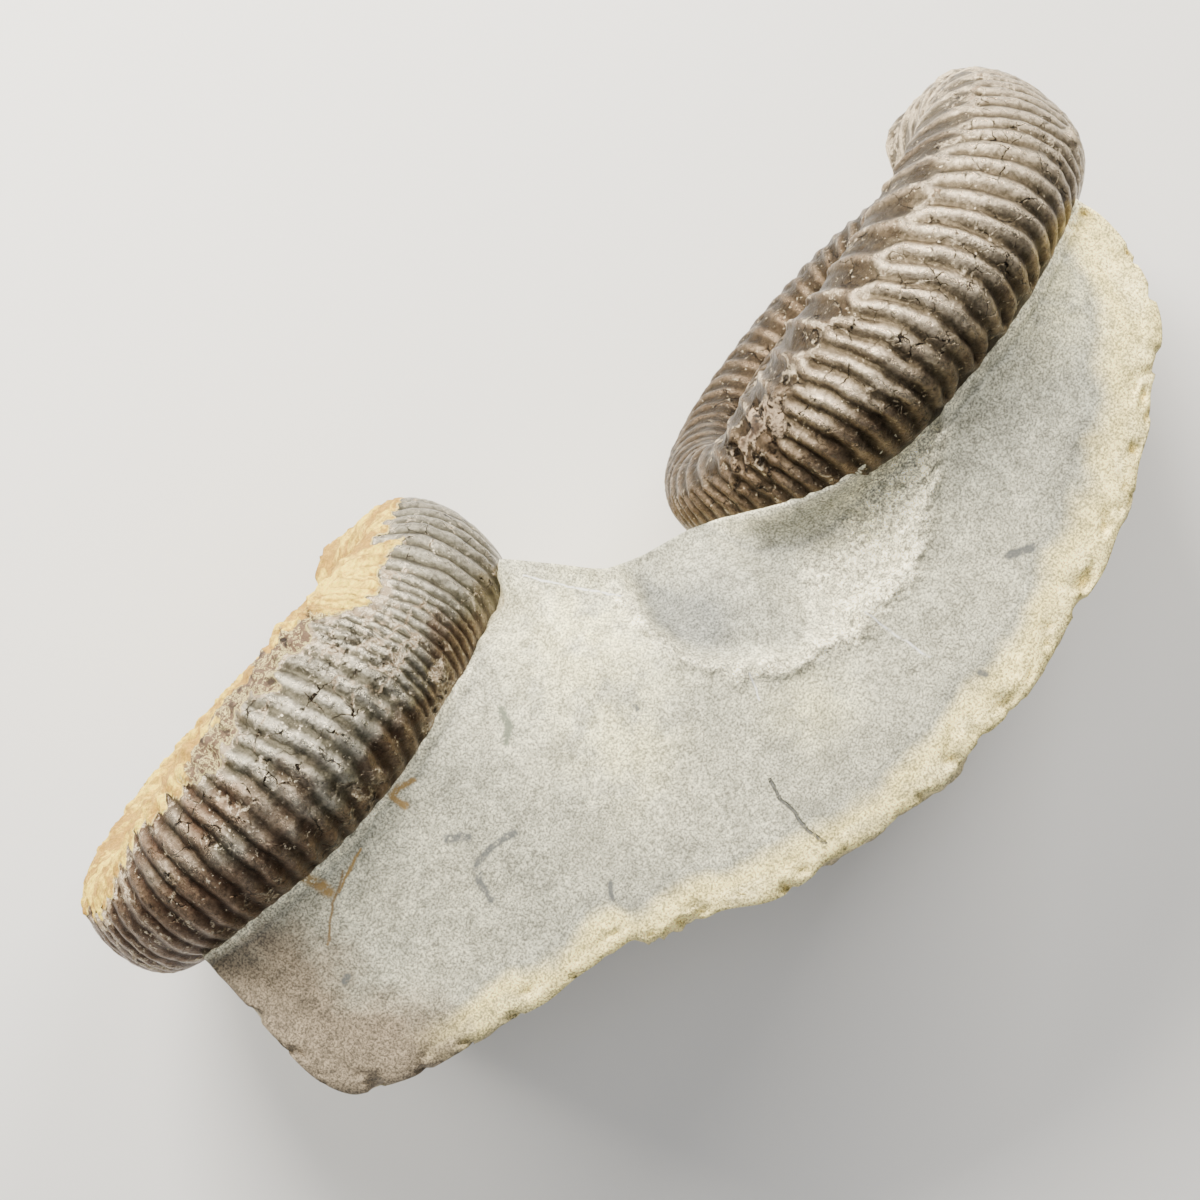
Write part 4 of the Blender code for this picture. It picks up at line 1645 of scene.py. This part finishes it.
FAR_RIBS = Ribs(
    crests=(
        206.0, 201.5, 197.0, 192.4, 187.9, 183.3, 178.8, 174.3, 169.8, 165.2, 160.8, 156.6, 152.3,
        148.1, 144.0, 140.0, 135.6, 130.6, 126.0, 121.2, 116.7, 111.9, 107.4, 102.5, 97.5, 93.1,
        88.7, 84.4, 79.9, 75.2, 71.1, 66.5, 61.8, 57.5, 53.9, 50.1,
    ),
    spacing=4.0, relief=0.58, arch=(1.4, -0.03), sweep=(-2.0, -0.02), join=(46.0, 58.0),
    ridge=2.4, flank_share=0.7,
    strength=(
        (-154.0, 1.0), (45.0, 0.9), (62.0, 1.0), (80.0, 1.15), (112.0, 1.1), (126.0, 0.75),
        (150.0, 0.6), (206.0, 0.7),
    ),
)

GOLDEN_SHELL = ShellFinish(
    name="silver and brown shell with golden crust",
    # crest colours lighter than furrows: partly painted highlight and shade
    bright_crest=(0.30, 0.277, 0.218),
    bright_furrow=(0.080, 0.072, 0.050),
    dark_crest=(0.160, 0.107, 0.068),
    dark_furrow=(0.050, 0.029, 0.018),
    crust=(1.0, 0.73, 0.10),
    crust_deep=(0.50, 0.285, 0.045),
    crust_rim=(1.0, 0.86, 0.38),
    brown=(0.155, 0.095, 0.055),
    dust=(0.36, 0.27, 0.165),
    fleck=(0.80, 0.70, 0.52),
    crack=(0.012, 0.008, 0.005),
    gloss=0.27,
    speckle=0.8,
)
BRONZE_SHELL = ShellFinish(
    name="bronze shell with tan crackle",
    # crest colours lighter than furrows: partly painted highlight and shade
    bright_crest=(0.46, 0.38, 0.27),
    bright_furrow=(0.100, 0.078, 0.049),
    dark_crest=(0.122, 0.085, 0.053),
    dark_furrow=(0.036, 0.025, 0.015),
    crust=(0.44, 0.29, 0.16),
    crust_deep=(0.075, 0.045, 0.025),
    crust_rim=(0.66, 0.50, 0.33),
    brown=(0.12, 0.072, 0.04),
    dust=(0.46, 0.37, 0.25),
    fleck=(0.78, 0.66, 0.46),
    crack=(0.010, 0.007, 0.005),
    gloss=0.27,
    speckle=0.7,
)


def main() -> None:
    """Build every piece and the studio, in order."""
    logging.basicConfig(level=logging.INFO, format="%(name)s: %(message)s")
    near = Ammonite("ammonite_near", NEAR, NEAR_RIBS, OchreCover(), GOLDEN_SHELL)
    far = Ammonite(
        "ammonite_far", FAR, FAR_RIBS, TanCover(), BRONZE_SHELL, nodule=(151.0, -14.0, 0.7)
    )
    for shell in (near, far):
        for piece in shell.build():
            LOG.info("%s built", piece.name)
    LOG.info("%s built", Rock((NEAR, FAR)).build().name)
    Studio().build()


if __name__ == "__main__":
    main()
